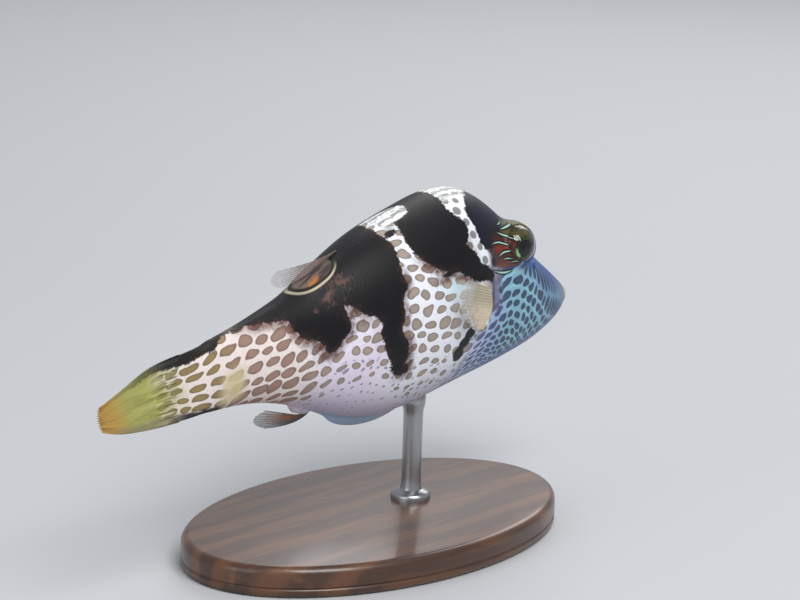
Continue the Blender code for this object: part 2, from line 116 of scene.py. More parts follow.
EYE_BACK = 19.7
EYE_OUT = 4.9
EYE_UP = 7.3
DOME_RADIUS = 3.45
EYE_RADIUS = 2.9
CORNEA_OUTER = EYE_RADIUS - 0.01
CORNEA_INNER = EYE_RADIUS - 0.07
EYE_COLUMNS = 72
EYE_FORWARD = 0.87
EYE_TURN = (11.0, 19.0)
# The axis that the marks round the eye are laid out on, and the one that the iris faces
MARK_TURN = (8.0, 7.0)
IRIS_TURN = (12.0, 1.0)
LID_INNER = 2.45
LID_CREST = 0.22
LID_WIDTH = 0.17
LID_RAISE = 0.14
SOCKET_DROP = 1.3
PUPIL_RADIUS = 1.15
IRIS_DEPTH = 0.35
LENS_GAP = 0.06
LENS_SINK = 0.14
LENS_BULGE = 0.4

NOSTRIL_BACK = 13.6
NOSTRIL_ANGLE = math.radians(47.0)
NOSTRIL_RIM = 0.3
NOSTRIL_DEPTH = 0.6
GILL_BACK = 25.3
GILL_ANGLE = math.radians(90.0)
GILL_HALF_LENGTH = 2.7
GILL_HALF_WIDTH = 0.3
GILL_LIP = 0.14
GILL_DEPTH = 0.75

# The anal fin's fleshy root: two ends as distance back and rise over the belly line, then a radius
ANAL_PAD = ((54.0, 0.2), (55.5, 0.1), 0.9)
# The fleshy roots of the pectoral fins: two ends as distance back and height, then a radius
PECTORAL_PAD = ((28.6, 3.9), (29.2, -0.9), 1.0)
PAD_BLEND = 0.6
DOME_BLEND = 1.2
DORSAL_MOUND_BACK = 52.4
DORSAL_MOUND_RISE = -0.85
DORSAL_MOUND_HALF = (3.3, 2.3, 0.9)
# The bare bed painted on the mound: distance back, then half length and half width along the skin
DORSAL_BED_BACK = 52.45
DORSAL_BED_HALF = (3.2, 2.75)
KEEL_BACK = 41.8
KEEL_Z = -9.9
KEEL_HALF = (8.6, 0.85, 3.5)
KEEL_BLEND = 0.4

DORSAL_RAYS = 9
ANAL_RAYS = 9
CAUDAL_RAYS = 11
PECTORAL_RAYS = 16
CAUDAL_LENGTH = 19.0
ROOT_BOW = 0.45
# Roots of the small fins from front to back, their height off the skin, and the rise of their rays' middles
DORSAL_ROOT = (49.5, 53.3)
ANAL_ROOT = (53.6, 56.0)
FIN_OFF_SKIN = 0.3
DORSAL_ARCH = -0.4
ANAL_ARCH = -0.9
# Tips of the small fins: share of the way along the fin, distance back, side, height
DORSAL_TIPS = (
    (0.0, 57.9, 1.5, 8.95), (0.4, 58.8, 1.7, 8.1), (0.75, 58.6, 1.4, 7.2), (1.0, 57.6, 1.0, 6.8),
)
ANAL_TIPS = (
    (0.0, 59.7, 1.4, -11.0), (0.4, 61.4, 1.6, -10.1), (0.75, 61.4, 1.4, -9.1), (1.0, 60.0, 1.0, -8.5),
)
# Tips of the pectoral fins: share of the way down the fin, with the distance back or the height
PECTORAL_TIP_BACK = ((0.0, 35.0), (0.35, 36.8), (0.7, 36.2), (1.0, 33.7))
PECTORAL_TIP_Z = ((0.0, 6.3), (0.35, 4.4), (0.7, 1.8), (1.0, -0.7))
PECTORAL_ROOT_OUT = 0.85
PECTORAL_ROOT_SHIFT = 1.08
# How far a web falls short of its rays, where rays end, how wide they fork and how much they taper
SCALLOP = 0.03
RAY_END = 0.985
FORK_SPREAD = 0.24
RAY_TAPER = 0.68
# Facets of a web from ray to ray and from root to tip, steps along a ray, and sides of a ray
WEB_FACETS = 8
WEB_ROWS = 40
RAY_STEPS = 34
RAY_SIDES = 8
# Where the small and the pectoral fins begin, as a share of their length; below 0 is inside the body
SMALL_FIN_START = -0.12
PECTORAL_START = -0.16

FLOOR_Z = -29.5
ROD_BACK = 32.5

# The stand's profiles in metres. The plinth's are insets and heights from its foot and from its groove
OVAL_COLUMNS = 160
PLINTH_FOOT = ((0.0009, 0.0), (0.0003, 0.00015), (0.0, 0.0005))
PLINTH_GROOVE = ((0.0, -0.00022), (0.00016, -0.0001), (0.0002, 0.0), (0.00016, 0.0001), (0.0, 0.00022))
PLINTH_ROUND = 0.0011
GROOVE_SHARE = 0.3
# The rod's are shares of its radius, with heights above its foot and depths below its top
ROD_COLUMNS = 64
ROD_COLLAR = (
    (1.75, -0.0002), (1.75, 0.0005), (1.6975, 0.0008), (1.505, 0.001), (0.98, 0.0013), (0.9, 0.0018),
    (0.86, 0.003),
)
ROD_WAIST = 0.86
ROD_CUP = ((0.88, 0.0022), (1.02, 0.0014), (1.06, 0.0009), (1.06, 0.0002), (0.95, 0.0))
ROD_INTO_BELLY = 0.0003

FLOOR_HALF_SIZE = 3.0
SKY_COLOUR = (0.80, 0.82, 0.86)
SKY_STRENGTH = 0.5
# Lights: metres from the fish towards the camera, to its right and up, then size, power and colour
LIGHTS = (
    ("key", 0.35, 0.18, 0.38, 0.32, 3.0, (1.0, 0.985, 0.96)),
    ("fill", 0.45, -0.4, 0.12, 0.4, 0.8, (0.93, 0.96, 1.0)),
    ("rim", -0.4, 0.1, 0.4, 0.3, 0.9, (1.0, 1.0, 1.0)),
)

# Points round the skin and angles measured on each side of it, and rings over each part of its length
COLUMNS = 232
DENSE_ANGLES = 181
TAIL_RINGS = 22
BODY_RINGS = 150
HEAD_RINGS = 122
LIP_STEPS = 41
# Halvings of the search for the skin's edge, and how far out it begins beyond the plain section
HALVINGS = 22
SEARCH_OUT = 5.0
# The skin is divided finely between these distances from the eye's axis, and this near to a nostril
LID_ZONE = (1.95, 3.05)
NOSTRIL_ZONE = 1.0

# Outlines of the saddles on the right side: distance back, girth down from the middle of the back
CAP = (
    (15.5, -3.0), (15.5, 0.0), (16.0, 3.0), (17.0, 5.5), (18.6, 8.0), (21.0, 9.0), (22.5, 9.3), (24.0, 9.8),
    (26.5, 10.4), (27.8, 10.6), (28.3, 9.8), (28.6, 8.5), (28.7, 7.0), (28.8, 5.5), (28.3, 4.3), (27.5, 3.2),
    (26.3, 2.2), (25.4, 1.0), (25.2, 0.0), (25.2, -3.0),
)
SHOULDER_SADDLE = (
    (31.3, -3.0), (31.3, 0.8), (31.2, 2.2), (31.6, 4.0), (31.3, 5.0), (30.3, 6.5), (29.8, 7.3), (30.3, 8.5),
    (31.0, 9.5), (30.2, 10.5), (29.0, 11.7), (28.5, 12.6), (27.3, 13.3), (26.3, 14.1), (27.0, 14.8),
    (28.7, 14.9), (30.2, 14.6), (32.0, 13.2), (34.0, 12.0), (36.0, 11.0), (37.5, 10.2), (38.8, 9.0),
    (39.5, 8.0), (40.0, 7.0), (40.2, 5.8), (40.3, 4.5), (40.2, 3.0), (39.5, 2.2), (38.5, 1.8), (37.0, 1.3),
    (36.4, 0.3), (36.4, -3.0),
)
REAR_SADDLES = (
    (42.9, -3.0), (42.8, 1.0), (42.7, 2.0), (42.5, 4.0), (42.5, 6.0), (42.7, 8.0), (42.9, 9.0), (42.4, 10.3),
    (43.5, 11.5), (43.5, 13.0), (43.3, 14.0), (43.7, 15.0), (43.5, 16.0), (42.9, 17.3), (42.6, 19.0),
    (42.7, 20.0), (42.4, 21.5), (43.4, 21.5), (44.3, 21.0), (45.2, 20.0), (45.6, 18.0), (46.0, 17.0),
    (46.6, 15.5), (47.1, 13.5), (47.0, 12.3), (47.7, 11.0), (48.5, 10.3), (49.7, 9.5), (50.3, 8.3),
    (51.0, 7.4), (52.0, 6.3), (51.6, 7.8), (51.2, 8.8), (51.2, 9.6), (51.5, 10.4), (52.6, 10.4), (53.3, 10.9),
    (54.3, 10.8), (55.2, 10.3), (55.8, 9.0), (56.5, 8.0), (57.5, 6.9), (58.7, 5.9), (59.7, 4.8), (60.0, 3.7),
    (60.5, 2.9), (62.0, 2.2), (64.0, 1.5), (66.0, 0.9), (68.0, 0.6), (70.0, 0.7), (71.5, 1.5), (76.0, 1.6),
    (81.0, 1.0), (88.0, 0.3), (92.0, -3.0),
)
SADDLES = (CAP, SHOULDER_SADDLE, REAR_SADDLES)
# Single dark blots: distance back, girth, half length along the body, half length round it
BLOTS = (
    (31.2, 21.2, 1.1, 0.85), (32.1, 22.2, 1.15, 0.85), (33.0, 23.2, 1.05, 0.8), (32.6, 24.0, 1.0, 0.7),
    (41.6, 3.1, 1.15, 0.62), (34.8, 11.8, 1.2, 0.4),
)
# Light lines that run back from the eye: first point, last point, half width, rise of the middle
EYE_LINES = (
    ((-1.5, 3.75), (-3.1, 3.4), 0.05, -0.12),
    ((-0.8, 3.15), (-2.7, 2.75), 0.06, -0.1),
    ((-1.2, 1.15), (-3.9, 2.5), 0.085, 0.06),
    ((-2.0, 0.3), (-6.0, 1.35), 0.08, 0.4),
    ((-2.1, -0.15), (-5.0, -0.45), 0.08, 0.16),
    ((-2.3, -1.2), (-3.8, -1.05), 0.05, 0.12),
    ((-1.3, -1.65), (-2.4, -1.7), 0.04, 0.08),
    ((-2.2, -2.75), (-6.6, -2.05), 0.1, -0.25),
)


def tint(red, green, blue):
    """A colour as a screen shows it, each part up to 255, as Blender's nodes take it."""
    return tuple(((part / 255 + 0.055) / 1.055) ** 2.4 for part in (red, green, blue))


def smooth_curve(knots):
    """A natural cubic spline through (x, y) knots, held level beyond its ends."""
    x, y = np.array(knots, dtype=float).T
    step = np.diff(x)
    rise = np.diff(y) / step
    count = len(x)
    system = np.eye(count)
    load = np.zeros(count)
    for i in range(1, count - 1):
        system[i, i - 1:i + 2] = step[i - 1], 2 * (step[i - 1] + step[i]), step[i]
        load[i] = 6 * (rise[i] - rise[i - 1])
    bend = np.linalg.solve(system, load)

    def curve(at):
        at = np.clip(at, x[0], x[-1])
        i = np.clip(np.searchsorted(x, at) - 1, 0, count - 2)
        ahead = at - x[i]
        left = x[i + 1] - at
        h = step[i]
        return ((bend[i] * left ** 3 + bend[i + 1] * ahead ** 3) / (6 * h)
                + (y[i] / h - bend[i] * h / 6) * left + (y[i + 1] / h - bend[i + 1] * h / 6) * ahead)

    return curve


def ease(value, low, high):
    """Rises smoothly from 0 at low to 1 at high."""
    t = np.clip((value - low) / (high - low), 0.0, 1.0)
    return t * t * (3 - 2 * t)


def station_curve(field):
    return smooth_curve([(station.back, getattr(station, field)) for station in STATIONS])


caudal_upper = smooth_curve(((0.0, 2.85), (0.15, 2.25), (0.4, 1.6), (0.6, 0.75), (0.8, -0.95), (1.0, -2.5)))
caudal_lower = smooth_curve(((0.0, -6.2), (0.3, -6.5), (0.7, -6.5), (0.85, -6.2), (1.0, -5.5)))
body_top = station_curve("top")
body_bottom = station_curve("bottom")
body_half = station_curve("half")
widest_height = station_curve("widest")


def root_share(s):
    """How far a place behind the body lies along the caudal fin."""
    return np.clip(s - BODY_END, 0.0, None) / CAUDAL_LENGTH


def top_line(s):
    blend = ease(s, BODY_END - 1.0, BODY_END + 2.5)
    return body_top(s) * (1 - blend) + caudal_upper(root_share(s)) * blend


def belly_line(s):
    blend = ease(s, BODY_END - 1.0, BODY_END + 2.5)
    return body_bottom(s) * (1 - blend) + caudal_lower(root_share(s)) * blend


def half_width(s):
    """Half the width of the body, thinning over the fleshy root of the caudal fin."""
    blend = ease(s, BODY_END, SKIN_END - 0.8)
    thin = 0.34 - 0.26 * ease(s, SKIN_END - 1.2, SKIN_END)
    return body_half(s) * (1 - blend) + thin * blend


def spine_table():
    """Spine positions and headings every tenth of a millimetre, with the middle of the spine at 0, 0."""
    back = np.arange(-5.0, 100.0, 0.1)
    heading = np.radians(smooth_curve(HEADING)(back))
    x = -np.concatenate([[0.0], np.cumsum(np.cos(heading[1:]) * np.diff(back))])
    y = -np.concatenate([[0.0], np.cumsum(np.sin(heading[1:]) * np.diff(back))])
    x -= np.interp(SPINE_MIDDLE, back, x)
    y -= np.interp(SPINE_MIDDLE, back, y)
    return back, x, y, heading


SPINE = spine_table()


def place(s, y, z):
    """Fish coordinates to straight ones, x ahead, y left and z up."""
    back, spine_x, spine_y, heading = SPINE
    s, y, z = np.broadcast_arrays(s, y, z)
    turn = np.interp(s, back, heading)
    straight_x = np.interp(s, back, spine_x) - y * np.sin(turn)
    straight_y = np.interp(s, back, spine_y) + y * np.cos(turn)
    return np.stack([straight_x, straight_y, z], axis=-1)


def frame_offset():
    """Where the fish's origin lies in the frame, from the middle of the rod and the foot of the plinth."""
    low, high = (np.array(corner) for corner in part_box("stand_rod"))
    middle = (low + high) / 2
    foot = place(ROD_BACK, 0.0, 0.0) * MM
    return np.array((middle[0] - foot[0], middle[1] - foot[1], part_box("stand_base")[0][2] - FLOOR_Z * MM))


OFFSET = frame_offset()


def in_frame(points):
    return np.asarray(points) * MM + OFFSET


def local_axes(s):
    """Directions forward, left and up at a distance back along the spine."""
    turn = float(np.interp(s, SPINE[0], SPINE[3]))
    forward = np.array((math.cos(turn), math.sin(turn), 0.0))
    left = np.array((-math.sin(turn), math.cos(turn), 0.0))
    return forward, left, np.array((0.0, 0.0, 1.0))


def smooth_max(a, b, blend):
    near = np.maximum(blend - np.abs(a - b), 0.0) / blend
    return np.maximum(a, b) + near * near * blend / 4


def capsule_depth(point, start, end, radius):
    start, end = np.array(start), np.array(end)
    along = end - start
    offset = point - start
    t = np.clip(offset @ along / max(along @ along, 1e-9), 0.0, 1.0)
    return radius - np.linalg.norm(offset - t[..., None] * along, axis=-1)


def ellipsoid_depth(point, centre, half):
    return (1.0 - np.linalg.norm((point - np.array(centre)) / np.array(half), axis=-1)) * min(half)


def flank_out(s, z):
    """Distance of the plain flank from the middle plane."""
    middle = widest_height(s)
    tall = np.where(z > middle, top_line(s) - middle, middle - belly_line(s))
    return half_width(s) * np.sqrt(np.maximum(1.0 - ((z - middle) / tall) ** 2, 0.0))


def lump_depths(point):
    """Depths inside every swelling that is fused to the body, each with its fillet."""
    for side in (-1, 1):
        centre = (EYE_BACK, side * EYE_OUT, EYE_UP)
        yield capsule_depth(point, centre, centre, DOME_RADIUS), DOME_BLEND
        ends = [(back, side * float(flank_out(back, z)), z) for back, z in PECTORAL_PAD[:2]]
        yield capsule_depth(point, *ends, PECTORAL_PAD[2]), PAD_BLEND
    ends = [(back, 0.0, float(belly_line(back)) + rise) for back, rise in ANAL_PAD[:2]]
    yield capsule_depth(point, *ends, ANAL_PAD[2]), PAD_BLEND
    over_back = point - np.stack([0 * point[..., 0], 0 * point[..., 0], top_line(point[..., 0])], axis=-1)
    mound = (DORSAL_MOUND_BACK, 0.0, DORSAL_MOUND_RISE)
    yield ellipsoid_depth(over_back, mound, DORSAL_MOUND_HALF), PAD_BLEND
    yield ellipsoid_depth(point, (KEEL_BACK, 0.0, KEEL_Z), KEEL_HALF), KEEL_BLEND


def plain_radius(s, angle):
    """Distance from the middle of the plain section to its edge, at an angle from straight up."""
    middle = widest_height(s)
    side, up = -np.sin(angle), np.cos(angle)
    tall = np.where(up > 0, top_line(s) - middle, middle - belly_line(s))
    return 1.0 / np.sqrt((side / half_width(s)) ** 2 + (up / tall) ** 2)


def skin_radius(s, angle):
    plain = plain_radius(s, angle)
    middle = widest_height(s)
    side, up = -np.sin(angle), np.cos(angle)
    low, high = plain * 0.95, plain + SEARCH_OUT
    for _ in range(HALVINGS):
        radius = (low + high) / 2
        point = np.stack(np.broadcast_arrays(s, radius * side, middle + radius * up), axis=-1)
        depth = plain - radius
        for lump, blend in lump_depths(point):
            depth = smooth_max(depth, lump, blend)
        inside = depth > 0
        low = np.where(inside, radius, low)
        high = np.where(inside, high, radius)
    return (low + high) / 2


def section(s, angle, radius):
    """Side and height of points at given angles and distances from the middle of a section."""
    return -radius * np.sin(angle), widest_height(s) + radius * np.cos(angle)


def top_height(s):
    return widest_height(s) + skin_radius(s, 0.0 * s)


def bottom_height(s):
    return widest_height(s) - skin_radius(s, math.pi + 0.0 * s)


def running_length(side, up):
    """Length along each row of points from its first point."""
    steps = np.hypot(np.diff(side, axis=-1), np.diff(up, axis=-1))
    return np.concatenate([np.zeros((len(side), 1)), np.cumsum(steps, axis=-1)], axis=-1)


def skin_rings(backs):
    """Rings of evenly spaced skin points: s, y, z, girth, share of the half girth and side."""
    backs = np.asarray(backs)[:, None]
    half = COLUMNS // 2
    parts = []
    for sign in (1, -1):
        angles = sign * np.linspace(0.0, math.pi, DENSE_ANGLES)[None, :]
        side, up = section(backs, angles, skin_radius(backs, angles))
        plain = running_length(*section(backs, angles, plain_radius(backs, angles)))
        length = running_length(side, up)
        rows = []
        for i in range(len(backs)):
            even = np.linspace(0.0, length[i, -1], half + 1)
            girth = np.interp(even, length[i], plain[i])
            rows.append(np.stack([0 * even + backs[i], np.interp(even, length[i], side[i]),
                                  np.interp(even, length[i], up[i]), girth, girth / plain[i, -1],
                                  0 * even + sign], axis=-1))
        parts.append(np.array(rows))
    return np.concatenate([parts[0], parts[1][:, -2:0:-1]], axis=1)


def lip_rings(last_ring):
    """Rings over the lips and into the mouth, carrying on from the skin's last ring."""
    tall = float(top_line(LIP_START) - belly_line(LIP_START)) / 2
    behind = LIP_START + 0.8
    knots = [(behind, half_width(behind), tall + 0.4), (LIP_START, half_width(LIP_START), tall), *LIP_RINGS]
    back, across, high = (smooth_curve([(i, float(knot[k])) for i, knot in enumerate(knots)])
                          for k in range(3))
    middle = float(top_line(LIP_START) + belly_line(LIP_START)) / 2
    turn = np.arctan2(-last_ring[:, 1] / half_width(LIP_START), (last_ring[:, 2] - middle) / tall)
    rings = []
    for t in np.linspace(1.0, len(knots) - 1.0, LIP_STEPS)[1:]:
        folded = float(ease(t, 1.6, 3.0) * (1 - ease(t, 5.0, 7.0)))
        fold = LIP_FOLD_DEPTH * np.cos(LIP_FOLDS * turn) * folded
        blend = float(ease(t, 1.0, 2.0))
        height = middle * (1 - blend) + SNOUT_Z * blend
        rings.append(np.stack([0 * turn + back(t), -(across(t) + fold) * np.sin(turn),
                               height + (high(t) + fold) * np.cos(turn), last_ring[:, 3], last_ring[:, 4],
                               last_ring[:, 5]], axis=-1))
    return np.array(rings)


def turned(forward, left, up, side, turn):
    """A direction out to one side, turned back and up by angles in degrees."""
    back, rise = (math.radians(angle) for angle in turn)
    out = (-forward * math.sin(back) * math.cos(rise) + left * side * math.cos(back) * math.cos(rise)
           + up * math.sin(rise))
    return out / np.linalg.norm(out)


def eye_axes(side, turn):
    """The middle of the eye's dome and three directions: ahead, up and out along a turned axis."""
    forward, left, up = local_axes(EYE_BACK)
    out = turned(forward, left, up, side, turn)
    ahead = forward - out * (forward @ out)
    ahead /= np.linalg.norm(ahead)
    high = np.cross(out, ahead) * side
    return place(EYE_BACK, side * EYE_OUT, EYE_UP), ahead, high * np.sign(high[2]), out


def skin_spot(s, angle):
    """A point on the skin, with the directions back along it and outwards."""

    def at(back, turn):
        return place(back, *section(back, turn, skin_radius(np.array(back), np.array(turn))))

    nudge = 0.05
    here = at(s, angle)
    behind = at(s + nudge, angle) - here
    beside = at(s, angle + nudge / 5) - here
    out = np.cross(behind, beside)
    out *= np.sign(out @ (here - place(s, 0.0, widest_height(s))))
    behind /= np.linalg.norm(behind)
    out /= np.linalg.norm(out)
    return here, behind, out


def outline_depth(spots, outline):
    """How far each spot lies inside an outline, negative outside it."""
    x, y = spots.T
    nearest = np.full(len(spots), 1e9)
    inside = np.zeros(len(spots), dtype=bool)
    for (x0, y0), (x1, y1) in zip(outline, outline[1:] + outline[:1]):
        dx, dy = x1 - x0, y1 - y0
        t = np.clip(((x - x0) * dx + (y - y0) * dy) / (dx * dx + dy * dy), 0.0, 1.0)
        nearest = np.minimum(nearest, np.hypot(x - x0 - t * dx, y - y0 - t * dy))
        if dy:
            inside ^= ((y0 > y) != (y1 > y)) & (x < dx * (y - y0) / dy + x0)
    return np.where(inside, nearest, -nearest)


def saddle_depth(back, girth, side):
    """Depth inside the dark saddles and blots; those of the left side differ a little."""
    other = ease(-side, 0.0, 1.0) * ease(girth, 0.5, 4.0)
    spots = np.stack([back + other * 0.7 * np.sin(girth * 0.45 + 1.0),
                      girth + other * 0.8 * np.sin(back * 0.35 + 0.5)], axis=-1)
    depth = np.max([outline_depth(spots, outline) for outline in SADDLES], axis=0)
    for x, y, half_x, half_y in BLOTS:
        blot = 1 - np.hypot((spots[:, 0] - x) / half_x, (spots[:, 1] - y) / half_y)
        depth = np.maximum(depth, blot * min(half_x, half_y) * 1.4)
    return depth


class Wire:
    """A socket of a shader tree; arithmetic on wires adds Math nodes."""

    def __init__(self, tree, socket=None):
        self.tree = tree
        self.socket = socket

    def add(self, kind, settings=None, inputs=None, output=0):
        """Add one node: its settings first, then the values or links of its sockets."""
        node = self.tree.nodes.new(kind)
        for name, value in (settings or {}).items():
            if name == "stops":
                ramp = node.color_ramp
                while len(ramp.elements) < len(value):
                    ramp.elements.new(0.5)
                for element, (position, colour) in zip(ramp.elements, value):
                    element.position = position
                    element.color = (*colour, 1.0)
            else:
                setattr(node, name, value)
        for name, value in (inputs or {}).items():
            if isinstance(value, Wire):
                self.tree.links.new(value.socket, node.inputs[name])
            elif node.inputs[name].type == "RGBA":
                node.inputs[name].default_value = (*value, 1.0)
            else:
                node.inputs[name].default_value = value
        return Wire(self.tree, node.outputs[output])

    def out(self, name):
        """Another output of the same node."""
        return Wire(self.tree, self.socket.node.outputs[name])

    def math(self, operation, *values):
        return self.add("ShaderNodeMath", {"operation": operation}, dict(enumerate(values)))

    def __add__(self, other):
        return self.math("ADD", self, other)

    __radd__ = __add__

    def __sub__(self, other):
        return self.math("SUBTRACT", self, other)

    def __rsub__(self, other):
        return self.math("SUBTRACT", other, self)

    def __mul__(self, other):
        return self.math("MULTIPLY", self, other)

    __rmul__ = __mul__

    def __truediv__(self, other):
        return self.math("DIVIDE", self, other)

    def __neg__(self):
        return self.math("MULTIPLY", self, -1.0)

    def size(self):
        return self.math("ABSOLUTE", self)

    def root(self):
        return self.math("SQRT", self)

    def over_zero(self):
        return self.math("MAXIMUM", self, 0.0)

    def step(self, low, high):
        """Rises smoothly from 0 at low to 1 at high, or falls where low is the larger."""
        settings = {"interpolation_type": "SMOOTHSTEP"}
        if low < high:
            sockets = {0: self, 1: low, 2: high, 3: 0.0, 4: 1.0}
        else:
            sockets = {0: self, 1: high, 2: low, 3: 1.0, 4: 0.0}
        return self.add("ShaderNodeMapRange", settings, sockets)

    def between(self, low, high, soft):
        """1 between two values, fading to 0 outside them."""
        return self.step(low - soft, low + soft) * self.step(high + soft, high - soft)

    def over(self, colour, share):
        """Lay a colour over this one, by a share from 0 to 1."""
        return self.add("ShaderNodeMix", {"data_type": "RGBA"}, {0: share, 6: self, 7: colour}, 2)

    def attribute(self, name, output="Fac"):
        return self.add("ShaderNodeAttribute", {"attribute_name": name}, output=output)

    def split(self):
        """The three numbers of a vector."""
        x = self.add("ShaderNodeSeparateXYZ", inputs={0: self})
        return x, x.out(1), x.out(2)

    def join(self, x, y, z=0.0):
        return self.add("ShaderNodeCombineXYZ", inputs={0: x, 1: y, 2: z})

    def plain(self, colour):
        """A colour that is the same everywhere."""
        return self.add("ShaderNodeMix", {"data_type": "RGBA"}, {0: 0.0, 6: colour, 7: colour}, 2)

    def millimetres(self):
        """The piece's own coordinates in millimetres."""
        place_on = self.add("ShaderNodeTexCoord", output="Object")
        return self.add("ShaderNodeVectorMath", {"operation": "SCALE"}, {0: place_on, "Scale": 1000.0})

    def noise(self, vector, scale, detail=2.0, rough=0.5, output=0):
        sockets = {"Vector": vector, "Scale": scale, "Detail": detail, "Roughness": rough}
        return self.add("ShaderNodeTexNoise", inputs=sockets, output=output)

    def cells(self, vector, feature, irregular, output=0):
        settings = {"voronoi_dimensions": "2D", "feature": feature}
        sockets = {"Vector": vector, "Scale": 1.0, "Randomness": irregular}
        return self.add("ShaderNodeTexVoronoi", settings, sockets, output)

    def bricks(self, column, along, stagger=0.5):
        """A lattice: place across and along inside a cell, from -0.5 to 0.5, and the cell's chances."""
        line = self.math("FLOOR", column)
        shifted = along + self.math("FLOORED_MODULO", line, 2.0) * stagger
        cell = self.math("FLOOR", shifted)
        settings = {"noise_dimensions": "2D"}
        chances = self.add("ShaderNodeTexWhiteNoise", settings, {0: self.join(line, cell)}, 1)
        return column - line - 0.5, shifted - cell - 0.5, chances.split()

    def ovals(self, column, along, half_across, half_along, size):
        """Depth inside ovals on a staggered lattice, 1 in their middles, and a chance for each."""
        across, ahead, (first, second, third) = self.bricks(column, along)
        grown = size * (0.82 + third * 0.36)
        x = (across + (first - 0.5) * 0.16) / (grown * half_across)
        y = (ahead + (second - 0.5) * 0.16) / (grown * half_along)
        return 1 - (x * x + y * y).root(), first

    def bump(self, height, strength, distance):
        sockets = {"Height": height, "Strength": strength, "Distance": distance}
        return self.add("ShaderNodeBump", inputs=sockets)


def new_finish(name, roughness, **sockets):
    """A material with its shader's plain sockets set, and a wire to build the rest with."""
    made = bpy.data.materials.new(name)
    made.use_nodes = True
    shader = made.node_tree.nodes["Principled BSDF"]
    shader.inputs["Roughness"].default_value = roughness
    for socket, value in sockets.items():
        shader.inputs[socket.replace("_", " ").title().replace("Ior", "IOR")].default_value = value
    return made, shader, Wire(made.node_tree)


def feed(shader, **wires):
    """Join wires to the shader's sockets."""
    for name, wire in wires.items():
        wire.tree.links.new(wire.socket, shader.inputs[name.replace("_", " ").title()])


Skin = namedtuple("Skin", "lie side spot wander rough ragged flames")


def body_wires(w):
    """What every finish of the body reads: its coordinates and the noises that keep the pattern uneven."""
    s, g, f = w.attribute("lie", "Vector").split()
    side = w.attribute("side").step(-0.5, 0.5)
    spot = w.millimetres()
    wander = w.noise(spot, 0.32, 1.0, output=1).split()
    rough = w.noise(spot, 1.1, 1.0, output=1).split()
    ragged = w.noise(spot, 1.3, 3.0, 0.6)
    flames = w.noise(w.join(s * 0.16, f * 8.8, side * 3.0), 1.0, 2.0, 0.5)
    return Skin((s, g, f), side, spot, wander, rough, ragged, flames)


def uneven(value, wander, rough, wide, fine):
    """A coordinate moved a little by a broad noise and a fine one."""
    return value + (wander - 0.5) * wide + (rough - 0.5) * fine


def flank_colour(w, looks, at):
    """Tan ovals in a white net over flank and tail, smaller and fading down to a lavender belly that is
    partly the skin's own tint and partly painted shade, deepening towards the bottom.
    """
    s, g, f = at.lie
    on_fin = s.step(68.0, 72.0)
    level = g + (f * 11.5 - g) * on_fin
    back = uneven(s, at.wander[0], at.rough[0], 1.6, 0.2) + at.side * 4.3
    down = uneven(level, at.wander[1], at.rough[1], 1.6, 0.2)
    lean = w.math("MINIMUM", back, 60.0) * 0.42 + back.step(44.0, 60.0) * 2.4
    lean = lean + (w.math("MINIMUM", w.math("MAXIMUM", back, 60.0), 71.0) - 60.0) * 0.25
    row = (down + lean) / 1.78
    along = (back - down * 0.45) / 2.75
    tail = s.step(53.0, 61.0)
    reach = f + s.between(44.0, 53.0, 2.5) * 0.11 - tail * 0.3
    gap = s.step(32.6, 31.8) * g.step(14.0, 12.5)
    size = (1 - reach.step(0.6, 0.8) * 0.45) * reach.step(0.84, 0.78) * (1 - gap) * (1 + tail * 0.12)
    depth, chance = w.ovals(row, along, 0.37, 0.41, size + 0.01)
    cell = depth.step(0.0, 0.13)
    small_size = reach.step(0.58, 0.68) * (1 - reach.step(0.72, 0.96) * 0.6) * (1 - gap) * (1 - tail) + 0.01
    small, small_chance = w.ovals(row * 1.45 + 0.3, along * 1.7 + 0.2, 0.27, 0.27, small_size)
    dots = small.step(0.0, 0.3) * small_chance.step(0.2, 0.35) * depth.step(-0.2, -0.45)
    ring = w.ovals(g / 1.7 + s * 0.12, (s - g * 0.2) / 1.9, 0.36, 0.36, gap + 0.01)[0].step(0.0, 0.2)
    beside_fin = s.between(30.0, 36.0, 3.0) * g.between(11.5, 15.5, 2.0)
    light = w.plain(looks.white).over(tint(196, 222, 232), beside_fin)
    light = light.over(tint(222, 213, 230), s.step(41.0, 49.0) * g.step(8.0, 15.0))
    light = light.over(tint(230, 218, 214), tail)
    # Lavender over the lower flank, deepening towards the bottom: the belly's own pale tint with painted
    # shade of the underside.
    light = light.over(looks.belly, f.step(0.68, 0.95) * (1 - tail))
    light = light.over(tint(200, 184, 186), f.step(0.78, 1.0) * tail * s.step(69.0, 66.0))
    dark = w.plain(looks.cell).over(tint(172, 154, 138), chance * 0.6).over(tint(150, 120, 106), tail)
    dark = dark.over(tint(136, 118, 62), s.step(66.0, 73.0) * 0.9)
    dark = dark.over(tint(84, 70, 62), depth.step(0.5, 0.05) * 0.6)
    dark = dark.over(tint(206, 200, 186), s.step(37.5, 31.0) * g.between(11.5, 20.0, 2.0) * 0.6)
    yellow = (s + (at.wander[2] - 0.5) * 5.0 + (f - 0.4) * 2.0).step(74.5, 82.0)
    light = light.over(looks.caudal, yellow)
    dark = dark.over(tint(132, 128, 62), yellow * 0.8)
    light = light.over(dark, cell * (0.95 - s.step(77.0, 85.0) * 0.95))
    return light.over(tint(120, 116, 138), dots * 0.75).over(tint(116, 116, 114), ring * gap * 0.9)


